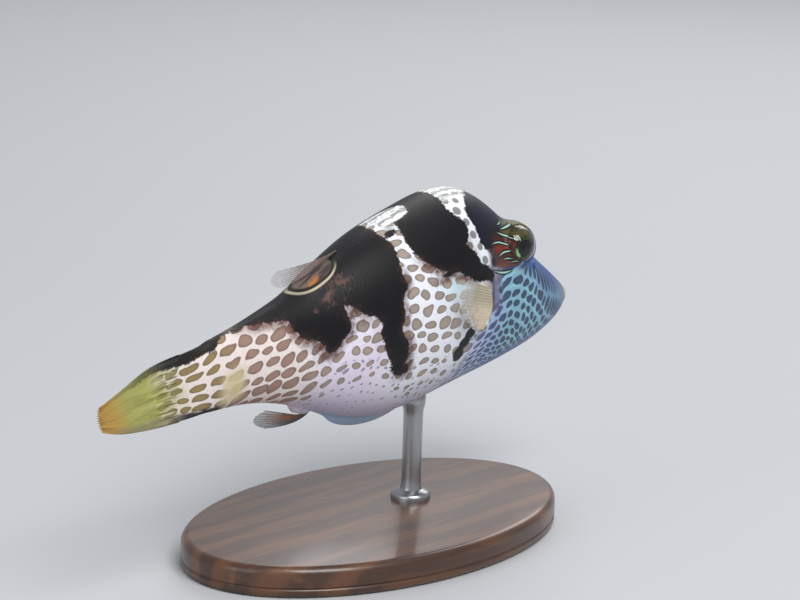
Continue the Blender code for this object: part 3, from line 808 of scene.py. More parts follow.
def tail_colour(w, looks, skin, at, edge):
    """Yellow and olive over the tail and its fin, a bleached patch, and dark upper and lower edges."""
    s, g, f = at.lie
    flames = at.flames
    mottle = w.noise(at.spot, 0.6, 3.0, 0.6)
    bleached = s.between(67.3, 70.6, 0.9) * g.between(5.2, 9.6, 1.0)
    skin = skin.over(tint(204, 190, 150), bleached * 0.85)
    skin = skin.over(tint(116, 108, 40), flames.step(0.5, 0.62) * s.between(77.0, 86.0, 3.0) * 0.35)
    skin = skin.over(tint(232, 234, 206), flames.step(0.43, 0.38) * s.between(75.5, 81.0, 2.0) * 0.45)
    skin = skin.over(looks.caudal_tip, (s + (mottle - 0.5) * 4.0 + (f - 0.5) * 1.5).step(84.0, 89.0) * 0.9)
    skin = skin.over(tint(96, 70, 24), flames.step(0.52, 0.6) * s.step(86.5, 89.0) * 0.7)
    low = (1 - f) * 9.0 + (mottle - 0.5) * 1.2
    lower = low.step(1.25, 0.7) * s.between(69.6, 79.0, 1.0)
    skin = skin.over(tint(112, 98, 96), low.step(1.8, 0.6) * s.step(74.0, 80.0) * s.step(90.0, 84.0) * 0.6)
    skin = skin.over(tint(28, 22, 26), lower * s.step(80.0, 75.0) * 0.95)
    band = edge.step(-0.1, 0.14) * s.step(64.0, 70.0)
    return skin.over(tint(34, 32, 30), band * (1 - s.step(78.0, 89.0) * 0.75))


def head_colour(w, looks, at):
    """Dark cells in a turquoise net over the cheek, in drawn-out rows on the snout, under a plain crown."""
    s, g, _ = at.lie
    side = at.side
    back = uneven(s, at.wander[0], at.rough[0], 1.5, 0.22)
    down = uneven(g, at.wander[1], at.rough[1], 1.5, 0.22)
    behind = (back - 15.0).over_zero()
    below = (down - 13.0).over_zero()
    above = (11.5 - down).over_zero()
    lips = (9.0 - back).over_zero()
    line = back * 0.813 - behind * behind * 0.009 - down * 0.74 + below * below * 0.03
    line = line - above * above * 0.07 - lips * lips * 0.08 + side * 7.7
    run = down * 0.54 + below * below * 0.02 + above * above * 0.0325 - back * 0.109
    run = run - behind * behind * 0.018 + side * 0.37
    snout = down.step(11.0, 7.5)
    across, ahead, (first, second, third) = w.bricks(line, run, 0.0)
    across = across + (first - 0.5) * 0.12
    ahead = ahead + (second - 0.5) * 0.12
    tilted = across * ahead * (1 - snout) * 4.6
    round_off = across * across * (5.1 + snout * 0.6) + tilted + ahead * ahead * (6.4 - snout * 2.4)
    inside = 1 - round_off.over_zero().root() / (0.9 + third * 0.2)
    low = g - s
    cell = inside.step(0.0, 0.2) * low.step(5.0, 2.5)
    knot = ahead.size().step(0.3, 0.5) * second.step(0.3, 0.7)
    net = w.plain(looks.head_net).over(tint(160, 212, 220), knot * 0.6)
    net = net.over(tint(88, 124, 164), snout * 0.75)
    net = net.over(tint(150, 176, 214), s.step(21.5, 26.0) * g.step(14.0, 18.0))
    net = net.over(tint(186, 196, 228), s.step(25.0, 29.5) * g.step(14.0, 18.0))
    net = net.over(looks.head_low, low.step(1.5, 4.5)).over(tint(72, 72, 122), low.step(5.0, 8.5))
    dark = w.plain(looks.head_cell).over(tint(42, 72, 104), inside.step(0.4, 0.9) * 0.5)
    dark = dark.over(tint(24, 46, 80), snout * 0.8)
    dark = dark.over(tint(66, 78, 118), s.step(21.0, 28.0))
    skin = net.over(dark, cell * 0.93)
    crown = w.plain(looks.head_top).over(tint(88, 118, 166), inside.step(0.0, -0.2) * 0.3)
    smooth = (g + first * 0.6 - w.math("MINIMUM", (s - 5.0) * (s - 5.0) * 0.026, 4.2)).step(5.7, 4.4)
    skin = skin.over(crown, smooth)
    return skin.over(tint(132, 152, 158), s.step(7.0, 3.0) * g.between(2.6, 6.2, 1.2) * 0.55)


def saddle_colour(w, looks, skin, at, edge, calm, streaks):
    """Dark saddles with a red-brown fringe, blue streaks on the nape and a brown blot at the dorsal fin."""
    s, g, _ = at.lie
    ragged = at.ragged
    reach = g.step(6.5, 9.5) * s.step(46.0, 42.0) * s.step(27.5, 33.0) + s.step(46.0, 51.0)
    fringe = edge.step(-1.5, -0.15) * reach * (1 - calm)
    skin = skin.over(tint(84, 46, 42), fringe * (ragged + 0.3) * s.step(70.0, 64.0))
    nape = streaks.step(0.5, 0.66) * s.between(19.0, 24.0, 1.5) * g.step(7.0, 4.0)
    ink = w.plain(looks.saddle).over(tint(13, 18, 36), s.step(31.0, 27.0) * g.step(13.0, 9.0))
    ink = ink.over(tint(38, 54, 86), nape * 0.6)
    blot = w.noise(at.spot, 0.9, 3.0, 0.6) - (s - 52.6).size() * 0.07 - (g - 4.0).size() * 0.1
    ink = ink.over(tint(104, 72, 66), blot.step(0.3, 0.52) * 0.75)
    worn = edge.step(1.1, 0.1) * ragged.step(0.42, 0.62) * s.step(31.0, 36.0)
    ink = ink.over(tint(58, 36, 34), worn * 0.7)
    return skin.over(ink, edge.step(-0.08, 0.1) * s.step(70.0, 66.0))


def mound_colour(w, skin, s, g, streaks):
    """The grey-brown bed of the dorsal fin inside a dark line and a pale ring that opens to the rear."""
    x = w.math("MAXIMUM", DORSAL_BED_BACK - s, (s - DORSAL_BED_BACK) * 0.6) / DORSAL_BED_HALF[0]
    y = g / DORSAL_BED_HALF[1]
    mound = (1 - (x * x + y * y).root()) * 2.9
    orange = (s - g * 0.8).between(52.2, 54.0, 0.4) * g.between(0.9, 1.7, 0.3)
    bed = w.plain(tint(108, 94, 90)).over(tint(66, 56, 54), streaks.step(0.44, 0.56))
    bed = bed.over(tint(180, 116, 54), orange * 0.8)
    skin = skin.over(bed, mound.step(0.75, 0.95))
    skin = skin.over(tint(48, 46, 32), mound.between(0.72, 0.9, 0.07))
    ring = mound.between(0.2, 0.5, 0.08) * (s + g).between(52.5, 58.2, 2.0)
    return skin.over(tint(196, 186, 160), ring * 0.9)


def eye_surround(w, skin, by_eye):
    """Light lines edged with black over red-brown skin behind the eye, and an olive lid over its top."""
    ahead, up, out = by_eye.split()
    facing = out.step(0.0, 1.0)
    behind = -ahead
    ramp = [(0.0, tint(62, 56, 74)), (0.2, tint(104, 62, 50)), (0.4, tint(74, 48, 38)),
            (0.58, tint(122, 50, 36)), (0.8, tint(66, 30, 28)), (1.0, tint(16, 16, 20))]
    band = (up - (behind - 3.0) * 0.1 + 2.9) / 5.6
    field = w.add("ShaderNodeValToRGB", {"stops": ramp}, {0: band})
    across = ahead + 0.2
    high = up - 0.7
    radius = (across * across + high * high).root()
    zone = behind.step(0.6, 1.3) * behind.step(6.9, 4.6) * up.between(-2.2, 2.5, 0.4) * facing
    dark = behind.between(0.8, 7.2, 0.7) * up.between(-1.7, 3.8, 0.4) * facing
    skin = skin.over(tint(14, 16, 28), dark * 0.95).over(field, zone)
    crown = radius.step(3.7, 2.9) * (high + across * 0.15).step(0.2, 1.2) * facing
    skin = skin.over(tint(82, 76, 34), crown)
    front = radius.step(4.2, 2.8) * (high + across * 0.2).step(0.6, -0.6) * ahead.step(-1.4, 0.2)
    skin = skin.over(tint(48, 70, 124), front * facing * 0.8)
    for (a0, b0), (a1, b1), half, rise in EYE_LINES:
        slope = (b1 - b0) / (a1 - a0)
        share = (ahead - (a0 + a1) / 2) / ((a0 - a1) / 2)
        bulge = 1 - share * share
        off = (up - (ahead - a0) * slope - b0 - bulge * rise).size() + (1 - bulge) * half
        length = share.size().step(1.25, 0.95) * facing
        skin = skin.over(tint(8, 8, 12), off.step(half + 0.34, half + 0.12) * length * 0.95)
        skin = skin.over(tint(168, 212, 200), off.step(half + 0.05, half - 0.03) * length)
    return skin


def skin_finish(looks):
    made, shader, w = new_finish("puffer_skin", 0.38, subsurface_weight=0.08, subsurface_scale=0.0008,
                                 specular_ior_level=0.27)
    at = body_wires(w)
    s, g, f = at.lie
    side = at.side
    ragged = at.ragged
    fine = w.noise(at.spot, 3.2, 3.0, 0.6)
    crumbs = w.noise(at.spot, 6.5, 2.0, 0.6)
    calm = s.between(29.0, 35.0, 0.5) * g.between(19.5, 25.5, 0.5)
    edge = (at.wander[2] - 0.5) * 1.3 + (ragged - 0.5) * 0.9 + (fine - 0.5) * 0.6 + (crumbs - 0.5) * 0.4
    edge = w.attribute("saddle") + edge * (1 - calm * 0.85)
    skin = flank_colour(w, looks, at)
    skin = skin.over(head_colour(w, looks, at), (s - g * 0.45 + ragged * 1.6).step(22.6, 18.6))
    gill = g.between(13.2, 18.8, 0.9)
    skin = skin.over(tint(102, 98, 122), s.between(25.0, 29.0, 0.7) * gill * (0.5 + ragged * 0.6))
    skin = skin.over(tint(48, 48, 66), s.between(26.6, 28.3, 0.4) * gill * 0.8)
    streaks = w.noise(w.join(s * 0.28, g * 2.1, side * 4.0), 1.0, 2.0, 0.55)
    near_back = (g + (ragged - 0.5) * 2.4).step(3.2, 1.6) * s.between(25.5, 41.6, 0.5)
    skin = skin.over(tint(150, 148, 146), near_back * 0.9)
    # The white lines along the middle of the back are a painted highlight on the back's ridge, laid over the
    # grey strip.
    lines = (w.math("SINE", (g + (ragged - 0.5) * 1.6) * 5.2) + (streaks - 0.5) * 3.0).step(-0.4, 0.5)
    skin = skin.over(tint(232, 238, 238), near_back * lines)
    speck = w.cells(w.join(s * 1.15, g * 1.15 + side * 5.0), "F1", 1.0)
    specks = speck.step(0.07, 0.045) * s.step(30.0, 36.0) * f.step(0.9, 0.7)
    skin = skin.over(tint(92, 84, 96), specks * 0.6)
    keel = f.step(0.925, 0.95) * s.between(40.0, 51.5, 1.5)
    skin = skin.over(tint(158, 188, 216), keel * 0.75)
    skin = saddle_colour(w, looks, skin, at, edge, calm, streaks)
    skin = tail_colour(w, looks, skin, at, edge)
    skin = mound_colour(w, skin, s, g, streaks)
    skin = eye_surround(w, skin, w.attribute("by_eye", "Vector"))
    lips = (s + (fine - 0.5) * 0.8).step(2.1, 1.1)
    skin = skin.over(tint(176, 178, 152), lips * 0.8)
    skin = skin.over(tint(52, 22, 22), w.attribute("mouth").step(0.3, 0.9))
    pores = w.cells(w.join(s * 3.4, g * 3.4), "F1", 1.0)
    height = (crumbs * 0.7 + pores * 0.5 + fine * 0.5) * (1 - s.step(69.0, 76.0) * 0.8)
    feed(shader, base_color=skin, roughness=0.38 + fine * 0.14, normal=w.bump(height, 0.36, 0.00008))
    return made


def eye_finish(looks):
    """Olive and gold iris round a deep green-black pupil."""
    made, shader, w = new_finish("puffer_eye", 0.25, specular_ior_level=0.04)
    by_eye = w.attribute("by_eye", "Vector")
    ahead, up, _ = by_eye.split()
    across, high, _ = w.attribute("iris", "Vector").split()
    radius = (across * across + high * high).root()
    turn = w.math("ARCTAN2", high, across)
    fibres = w.noise(w.join(turn * 5.0, radius * 0.7), 1.0, 3.0, 0.6)
    iris = w.plain(looks.iris).over(looks.iris_gold, fibres.step(0.42, 0.62))
    iris = iris.over(tint(84, 76, 32), up.step(0.9, 1.7))
    iris = iris.over(tint(46, 44, 22), up.step(1.8, 2.9) * 0.8)
    iris = iris.over(tint(116, 70, 36), ahead.step(-1.9, -2.2) * up.step(1.4, 0.6) * 0.9)
    # A pale green crescent at the rear and bottom of the iris: a painted reflection.
    shell = ((ahead + 0.1) * (ahead + 0.1) + (up - 0.35) * (up - 0.35)).root()
    glint_crescent = shell.between(1.42, 1.8, 0.08) * ahead.step(-0.8, -1.1) * up.between(-1.5, 0.1, 0.25)
    iris = iris.over(tint(178, 222, 160), glint_crescent)
    shade = radius.step(PUPIL_RADIUS + 0.75, PUPIL_RADIUS + 0.1) * (1 - glint_crescent)
    iris = iris.over(tint(20, 32, 14), shade * 0.6)
    rim = radius.between(PUPIL_RADIUS + 0.02, PUPIL_RADIUS + 0.1, 0.05)
    iris = iris.over(tint(96, 122, 52), rim * 0.35)
    # The lens is painted lighter green towards its upper front: a painted reflection.
    pupil = w.plain(looks.pupil).over(tint(12, 26, 16), (across + high).step(-0.6, 0.9) * 0.6)
    iris = iris.over(pupil, radius.step(PUPIL_RADIUS + 0.05, PUPIL_RADIUS - 0.03))
    lid = ahead - (up - 0.3).over_zero() * 0.5 + (fibres - 0.5) * 0.1
    iris = iris.over(tint(18, 20, 8), lid.between(-1.75, -1.5, 0.12) * up.between(-2.2, 1.6, 0.5) * 0.7)
    iris = iris.over(eye_surround(w, iris, by_eye), lid.step(-1.58, -1.7))
    feed(shader, base_color=iris, roughness=0.4 + fibres * 0.2, normal=w.bump(fibres, 0.2, 0.00006))
    return made


def cornea_finish():
    made, shader, w = new_finish("puffer_cornea", 0.0, transmission_weight=1.0, ior=1.34)
    cloud = w.noise(w.millimetres(), 1.2)
    feed(shader, base_color=w.plain((1.0, 1.0, 1.0)).over((0.93, 0.98, 0.95), cloud))
    return made


def web_finish(name, base, tip, low, clear_root, clear_tip, streak):
    """A thin fin: two colours along the rays, a third along its lower edge, clear between paler rays."""
    made, shader, w = new_finish(name, 0.34)
    across, along, phase = w.attribute("fan", "Vector").split()
    mottle = w.noise(w.millimetres(), 0.7, 3.0, 0.55)
    fibre = w.noise(w.join(across * 60.0, along * 2.5), 1.0, 3.0, 0.65)
    colour = w.plain(base).over(low, (across + (mottle - 0.5) * 0.5).step(0.3, 0.6))
    colour = colour.over(tip, (along + (mottle - 0.5) * 0.35).step(0.25, 0.95))
    colour = colour.over(streak, fibre.step(0.48, 0.66) * 0.4 + mottle.step(0.5, 0.66) * 0.35)
    on_ray = phase.step(0.5, 0.95)
    colour = colour.over(tip, on_ray * 0.2)
    clear = clear_root + (clear_tip - clear_root) * (along + (mottle - 0.5) * 0.3).step(0.16, 0.92)
    alpha = 1 - clear * (0.8 + fibre * 0.4) * (1 - on_ray * 0.05)
    feed(shader, base_color=colour, alpha=alpha, normal=w.bump(fibre * 0.7 + phase * 0.3, 0.5, 0.00006))
    return made


def caudal_finish(looks):
    """The tail's net running out into olive yellow and an orange tip, dark along both edges."""
    made, shader, w = new_finish("caudal_web", 0.34)
    across, along, phase = w.attribute("fan", "Vector").split()
    at = body_wires(w)
    fibre = w.noise(w.join(across * 70.0, along * 3.0), 1.0, 3.0, 0.65)
    edge = uneven(w.attribute("saddle"), at.wander[2], at.ragged, 1.3, 0.9)
    colour = tail_colour(w, looks, flank_colour(w, looks, at), at, edge)
    colour = colour.over(tint(110, 100, 44), fibre.step(0.52, 0.68) * at.lie[0].step(76.0, 82.0) * 0.3)
    alpha = 1 - along.step(0.5, 1.0) * 0.25 * (0.6 + fibre * 0.8)
    feed(shader, base_color=colour, alpha=alpha, normal=w.bump(fibre * 0.7 + phase * 0.3, 0.35, 0.00006))
    return made


def beak_finish():
    made, shader, w = new_finish("puffer_beak", 0.22, subsurface_weight=0.05, subsurface_scale=0.0004)
    spot = w.millimetres()
    growth = w.noise(spot, 2.5, 3.0, 0.6)
    colour = w.plain(tint(232, 224, 196)).over(tint(198, 180, 140), growth.step(0.45, 0.7))
    feed(shader, base_color=colour, roughness=0.18 + growth * 0.15, normal=w.bump(growth, 0.4, 0.00004))
    return made


def wood_finish(looks):
    """Dark walnut with its grain along the plinth, under satin varnish."""
    made, shader, w = new_finish("plinth_walnut", 0.3, coat_weight=0.35, coat_roughness=0.12)
    x, y, z = w.millimetres().split()
    bend = w.noise(w.join(x * 0.02, y * 0.05, z * 0.05), 1.0, 2.0)
    rings = w.math("SINE", (y + z * 0.6 + bend * 16.0) * 1.15)
    pores = w.noise(w.join(x * 0.16, y * 3.6, z * 3.6), 1.0, 4.0, 0.7)
    figure = w.noise(w.join(x * 0.05, y * 0.5, z * 0.5), 1.0, 3.0)
    colour = w.plain(looks.wood).over(tint(104, 66, 40), rings.step(-0.4, 0.9) * 0.7)
    colour = colour.over(tint(128, 84, 52), figure.step(0.5, 0.75) * 0.5)
    colour = colour.over(tint(30, 18, 12), pores.step(0.56, 0.7) * 0.85)
    feed(shader, base_color=colour, roughness=0.26 + pores * 0.2, normal=w.bump(pores, 0.25, 0.00008))
    return made


def steel_finish():
    """Steel with fine lines from polishing along the rod."""
    made, shader, w = new_finish("rod_steel", 0.26, metallic=1.0)
    x, y, z = w.millimetres().split()
    lines = w.noise(w.join(x * 9.0, y * 9.0, z * 0.25), 1.0, 3.0, 0.7)
    colour = w.plain(tint(186, 188, 190)).over(tint(148, 150, 152), lines)
    feed(shader, base_color=colour, roughness=0.2 + lines * 0.22, normal=w.bump(lines, 0.2, 0.00003))
    return made


def floor_finish(looks):
    made, shader, w = new_finish("studio_floor", 0.75)
    mist = w.noise(w.millimetres(), 0.004, 3.0)
    colour = w.plain(looks.floor).over(tuple(part * 0.94 for part in looks.floor), mist)
    feed(shader, base_color=colour)
    return made


def add_object(name, data):
    """Add an object to the scene in place of an older one of the same name."""
    old = bpy.data.objects.get(name)
    if old:
        bpy.data.objects.remove(old)
    made = bpy.data.objects.new(name, data)
    bpy.context.scene.collection.objects.link(made)
    return made


@contextmanager
def opened(mesh):
    """A mesh opened for editing, and written back at the end."""
    work = bmesh.new()
    work.from_mesh(mesh)
    yield work
    work.to_mesh(mesh)
    work.free()


def face_outwards(work):
    if work.calc_volume(signed=True) < 0:
        bmesh.ops.reverse_faces(work, faces=work.faces)


def add_piece(name, work, finish, nodes=()):
    """Make a piece of an edited mesh, facing outwards."""
    face_outwards(work)
    mesh = bpy.data.meshes.new(name)
    work.to_mesh(mesh)
    work.free()
    return add_mesh(name, mesh, finish, nodes)


def add_mesh(name, mesh, finish, nodes=()):
    """Make a piece of a mesh, and tell the frame what it stands for."""
    mesh.materials.clear()
    mesh.materials.append(finish)
    mesh.shade_smooth()
    piece = add_object(name, mesh)
    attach(piece, "root")
    if nodes:
        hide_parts(*nodes)
    return piece


def set_attribute(mesh, name, values):
    """Give every vertex a number or a vector."""
    values = np.asarray(values, dtype=np.float32)
    kind, field = ("FLOAT", "value") if values.ndim == 1 else ("FLOAT_VECTOR", "vector")
    mesh.attributes.new(name, kind, "POINT").data.foreach_set(field, values.ravel())


def mesh_points(mesh):
    flat = np.empty(len(mesh.vertices) * 3)
    mesh.vertices.foreach_get("co", flat)
    return flat.reshape(-1, 3)


def get_vectors(mesh, name):
    flat = np.empty(len(mesh.vertices) * 3)
    mesh.attributes[name].data.foreach_get("vector", flat)
    return flat.reshape(-1, 3)


def eye_coordinates(points):
    """Ahead, up and outwards from the middle of the nearer eye's dome."""
    found = None
    for side in (-1, 1):
        centre, ahead, high, out = eye_axes(side, MARK_TURN)
        offset = points - centre
        here = np.stack([offset @ ahead, offset @ high, offset @ out], axis=-1)
        if found is None:
            found = here
        else:
            near = np.linalg.norm(here, axis=-1) < np.linalg.norm(found, axis=-1)
            found = np.where(near[:, None], here, found)
    return found


def about_eye(points, side):
    """Each point's height along an eye's axis and distance from it, and the axis itself."""
    centre, _, _, out = eye_axes(side, EYE_TURN)
    offset = points - centre
    height = offset @ out
    return height, np.linalg.norm(offset - height[:, None] * out, axis=-1), out


def sculpt(points):
    """Shape the lids round the eyes, the nostrils and the gill slits, in straight coordinates."""
    points = points.copy()
    for side in (-1, 1):
        height, away, out = about_eye(points, side)
        move = LID_RAISE * np.exp(-((away - LID_INNER - LID_CREST) / LID_WIDTH) ** 2)
        move -= SOCKET_DROP * ease(-away, -LID_INNER - 0.04, -LID_INNER + 0.32)
        points += np.where(height > 0, move, 0.0)[:, None] * out
        spot, _, out = skin_spot(NOSTRIL_BACK, -side * NOSTRIL_ANGLE)
        away = np.linalg.norm(points - spot, axis=-1)
        move = NOSTRIL_RIM * ease(-away, -0.66, -0.3) - NOSTRIL_DEPTH * ease(-away, -0.25, -0.1)
        points += move[:, None] * out
        spot, behind, out = skin_spot(GILL_BACK, -side * GILL_ANGLE)
        offset = points - spot
        upward = offset[:, 2]
        across = offset @ behind - 0.05 * upward ** 2
        span = np.hypot(across / GILL_HALF_WIDTH, upward / GILL_HALF_LENGTH)
        near = np.abs(offset @ out) < 3.0
        move = GILL_LIP * np.exp(-((span - 1.5) / 0.4) ** 2) - GILL_DEPTH * ease(-span, -1.15, -0.2)
        points += np.where(near, move, 0.0)[:, None] * out
    return points


def refine(mesh):
    """Divide the faces round the lids and nostrils finely."""
    points = mesh_points(mesh)
    chosen = np.zeros(len(points), dtype=bool)
    for side in (-1, 1):
        height, away = about_eye(points, side)[:2]
        chosen |= (height > 0) & (away > LID_ZONE[0]) & (away < LID_ZONE[1])
        spot = skin_spot(NOSTRIL_BACK, -side * NOSTRIL_ANGLE)[0]
        chosen |= np.linalg.norm(points - spot, axis=-1) < NOSTRIL_ZONE
    with opened(mesh) as work:
        edges = [edge for edge in work.edges if all(chosen[vertex.index] for vertex in edge.verts)]
        bmesh.ops.subdivide_edges(work, edges=edges, cuts=2, use_grid_fill=True)


def skin_mesh():
    """One closed skin from the root of the caudal fin to the inside of the mouth."""
    tail = np.linspace(SKIN_END, BODY_END, TAIL_RINGS)[:-1]
    body = np.linspace(BODY_END, HEAD_END, BODY_RINGS)[:-1]
    head = np.linspace(HEAD_END, LIP_START, HEAD_RINGS)
    rings = skin_rings(np.concatenate([tail, body, head]))
    lips = lip_rings(rings[-1])
    mouth = np.concatenate([np.zeros(len(rings)), np.linspace(0.0, 1.0, len(lips)) ** 2])
    rings = np.concatenate([rings, lips])
    count = len(rings)
    table = rings.reshape(-1, 6)
    points = place(table[:, 0], table[:, 1], table[:, 2])
    ends = [rings[k, :, :3].mean(axis=0) for k in (0, -1)]
    points = np.concatenate([points, [place(*end) for end in ends]])
    index = np.arange(count * COLUMNS).reshape(count, COLUMNS)
    after = np.roll(index, -1, axis=1)
    quads = np.stack([index[:-1], after[:-1], after[1:], index[1:]], axis=-1).reshape(-1, 4).tolist()
    fans = [(after[0, i], index[0, i], count * COLUMNS) for i in range(COLUMNS)]
    fans += [(index[-1, i], after[-1, i], count * COLUMNS + 1) for i in range(COLUMNS)]
    mesh = bpy.data.meshes.new("skin")
    mesh.from_pydata(points.tolist(), [], quads + fans)
    extra = [(SKIN_END, 0.0, 0.0, 1.0), (LIP_RINGS[-1][0], 0.0, 0.0, 1.0)]
    lie = np.concatenate([table[:, (0, 3, 4)], [row[:3] for row in extra]])
    signs = np.concatenate([table[:, 5], [1.0, 1.0]])
    inner = np.concatenate([np.repeat(mouth, COLUMNS), [0.0, 1.0]])
    set_attribute(mesh, "lie", lie)
    set_attribute(mesh, "about", np.stack([signs, inner, 0 * inner], axis=-1))
    return mesh


def finish_skin_mesh(mesh):
    """Refine and sculpt the skin, then write the attributes that its finish reads."""
    refine(mesh)
    lie = get_vectors(mesh, "lie")
    about = get_vectors(mesh, "about")
    points = mesh_points(mesh)
    set_attribute(mesh, "side", about[:, 0])
    set_attribute(mesh, "mouth", about[:, 1])
    set_attribute(mesh, "saddle", saddle_depth(lie[:, 0], lie[:, 1], about[:, 0]))
    set_attribute(mesh, "by_eye", eye_coordinates(points))
    mesh.attributes.remove(mesh.attributes["about"])
    mesh.vertices.foreach_set("co", in_frame(sculpt(points)).ravel())


def revolve(work, profile, columns, centre, axes):
    """Turn a profile of (radius, height) round an axis into rings of vertices; radius 0 closes a pole."""
    ahead, high, out = axes
    rows = []
    for radius, height in profile:
        if radius < 1e-6:
            rows.append([work.verts.new(centre + out * height)])
            continue
        turns = np.linspace(0.0, 2 * math.pi, columns, endpoint=False)
        spots = (centre + out * height + radius * (math.cos(t) * ahead + math.sin(t) * high) for t in turns)
        rows.append([work.verts.new(spot) for spot in spots])
    for row, following in zip(rows, rows[1:]):
        for i in range(columns):
            j = (i + 1) % columns
            corners = [row[i % len(row)], row[j % len(row)], following[j % len(following)],
                       following[i % len(following)]]
            unique = list(dict.fromkeys(corners))
            if len(unique) > 2:
                work.faces.new(unique)


def globe_profile():
    """A ball under the clear shell, dipping at the pupil's edge, with the lens swelling out of it."""
    ball = EYE_RADIUS - IRIS_DEPTH
    edge = math.asin(PUPIL_RADIUS / ball)
    around = [(ball * math.sin(t), -ball * math.cos(t)) for t in np.linspace(0.0, math.pi - edge, 40)]
    rim = around[-1][1]
    lens = [((PUPIL_RADIUS - LENS_GAP) * math.cos(t), rim - LENS_SINK + LENS_BULGE * math.sin(t))
            for t in np.linspace(0.0, math.pi / 2, 10)]
    return around + lens[:-1] + [(0.0, lens[-1][1])]


def cornea_profile():
    """A thin clear shell over the front of the eye, closed at its rim."""
    angles = np.linspace(math.radians(72.0), 0.0, 20)
    outer = [(CORNEA_OUTER * math.sin(t), CORNEA_OUTER * math.cos(t)) for t in angles]
    inner = [(CORNEA_INNER * math.sin(t), CORNEA_INNER * math.cos(t)) for t in angles[::-1]]
    outer[-1] = (0.0, outer[-1][1])
    inner[0] = (0.0, inner[0][1])
    return outer, inner


def make_eye(side, finish, clear):
    """The globe with its iris and lens, and the clear shell over it."""
    name = "left" if side > 0 else "right"
    dome, _, _, look = eye_axes(side, EYE_TURN)
    centre = dome + look * EYE_FORWARD
    _, ahead, high, out = eye_axes(side, IRIS_TURN)
    work = bmesh.new()
    revolve(work, globe_profile(), EYE_COLUMNS, centre, (ahead, high, out))
    bmesh.ops.recalc_face_normals(work, faces=work.faces)
    piece = add_piece("globe_" + name, work, finish, ["eye_" + name])
    points = mesh_points(piece.data)
    offset = points - centre
    set_attribute(piece.data, "iris", np.stack([offset @ ahead, offset @ high, offset @ out], axis=-1))
    set_attribute(piece.data, "by_eye", eye_coordinates(points))
    piece.data.vertices.foreach_set("co", in_frame(points).ravel())
    _, ahead, high, out = eye_axes(side, EYE_TURN)
    work = bmesh.new()
    outer, inner = cornea_profile()
    revolve(work, [inner[-1]] + outer, EYE_COLUMNS, centre, (ahead, high, out))
    revolve(work, inner, EYE_COLUMNS, centre, (ahead, high, out))
    bmesh.ops.remove_doubles(work, verts=work.verts, dist=1e-4)
    bmesh.ops.recalc_face_normals(work, faces=work.faces)
    cornea = add_piece("cornea_" + name, work, clear)
    cornea.data.vertices.foreach_set("co", in_frame(mesh_points(cornea.data)).ravel())


def make_beak(finish):
    """Four hard plates: two above and two below, with a cleft between them and a seam down the middle."""
    forward, left, up = local_axes(0.0)
    deep = (BEAK_BACK - BEAK_FRONT) / 2
    centre = place(BEAK_FRONT + deep, 0.0, SNOUT_Z)
    ball = [(math.sin(t), -math.cos(t)) for t in np.linspace(0.0, math.pi, BEAK_RINGS)]
    work = bmesh.new()
    revolve(work, ball, BEAK_COLUMNS, np.zeros(3), np.eye(3))
    for vertex in work.verts:
        x, y, z = vertex.co
        cleft = BEAK_CLEFT * math.exp(-(z / 0.13) ** 2)
        seam = BEAK_SEAM * math.exp(-(y / 0.05) ** 2)
        shrink = 1 - (cleft + seam) * max(x, 0.0)
        spot = centre + forward * x * deep * shrink + left * y * BEAK_HALF_WIDTH + up * z * BEAK_HALF_HEIGHT
        vertex.co = in_frame(spot)
    add_piece("beak_plates", work, finish, ["beak"])


def swept_fin(root_back, root_height, tips, arch):
    """Rays from a root on the middle line to tips given as (u, back, side, height)."""
    tip_back, tip_side, tip_height = (smooth_curve([(tip[0], tip[k]) for tip in tips]) for k in (1, 2, 3))

    def centre(u, v, web):
        reach = v * (1 - SCALLOP * web)
        start = root_back[0] + (root_back[1] - root_back[0]) * u
        base = root_height(start)
        s = start + (tip_back(u) - start) * reach
        y = tip_side(u) * np.maximum(reach, 0.0) ** 1.5
        z = base + (tip_height(u) - base) * reach + arch * (1.0 - u) * (1.0 - reach - (1.0 - reach) ** 3)
        return s, y, z

    return centre


def dorsal_centre():
    return swept_fin(DORSAL_ROOT, lambda s: top_height(s) + FIN_OFF_SKIN, DORSAL_TIPS, DORSAL_ARCH)


def anal_centre():
    return swept_fin(ANAL_ROOT, lambda s: bottom_height(s) - FIN_OFF_SKIN, ANAL_TIPS, ANAL_ARCH)


def caudal_centre(u, v, web):
    reach = CAUDAL_LENGTH - 0.4 * (2 * u - 1) ** 2 - 0.6 * u - 0.5 * web
    s = BODY_END + 0.15 + reach * v
    z = caudal_upper(v) + (caudal_lower(v) - caudal_upper(v)) * u
    return s, 0 * s, z


def pectoral_centre(side, spread):
    """A fan swept back along the flank; spread is how far its tips stand off the skin."""
    (top_back, top_z), (low_back, low_z), _ = PECTORAL_PAD
    tip_back = smooth_curve(PECTORAL_TIP_BACK)
    tip_z = smooth_curve(PECTORAL_TIP_Z)

    def centre(u, v, web):
        reach = v * (1 - SCALLOP * web)
        start = top_back + (low_back - top_back) * u + PECTORAL_ROOT_SHIFT
        start = start - ROOT_BOW * np.sin(math.pi * u) * (1 - v)
        height = top_z + 0.4 + (low_z - top_z - 0.8) * u
        s = start + (tip_back(u) - start) * reach
        z = height + (tip_z(u) - height) * reach
        lift = (spread - PECTORAL_ROOT_OUT) * np.maximum(reach, 0.0) ** 1.5
        return s, side * (flank_out(s, z) + PECTORAL_ROOT_OUT + lift), z

    return centre


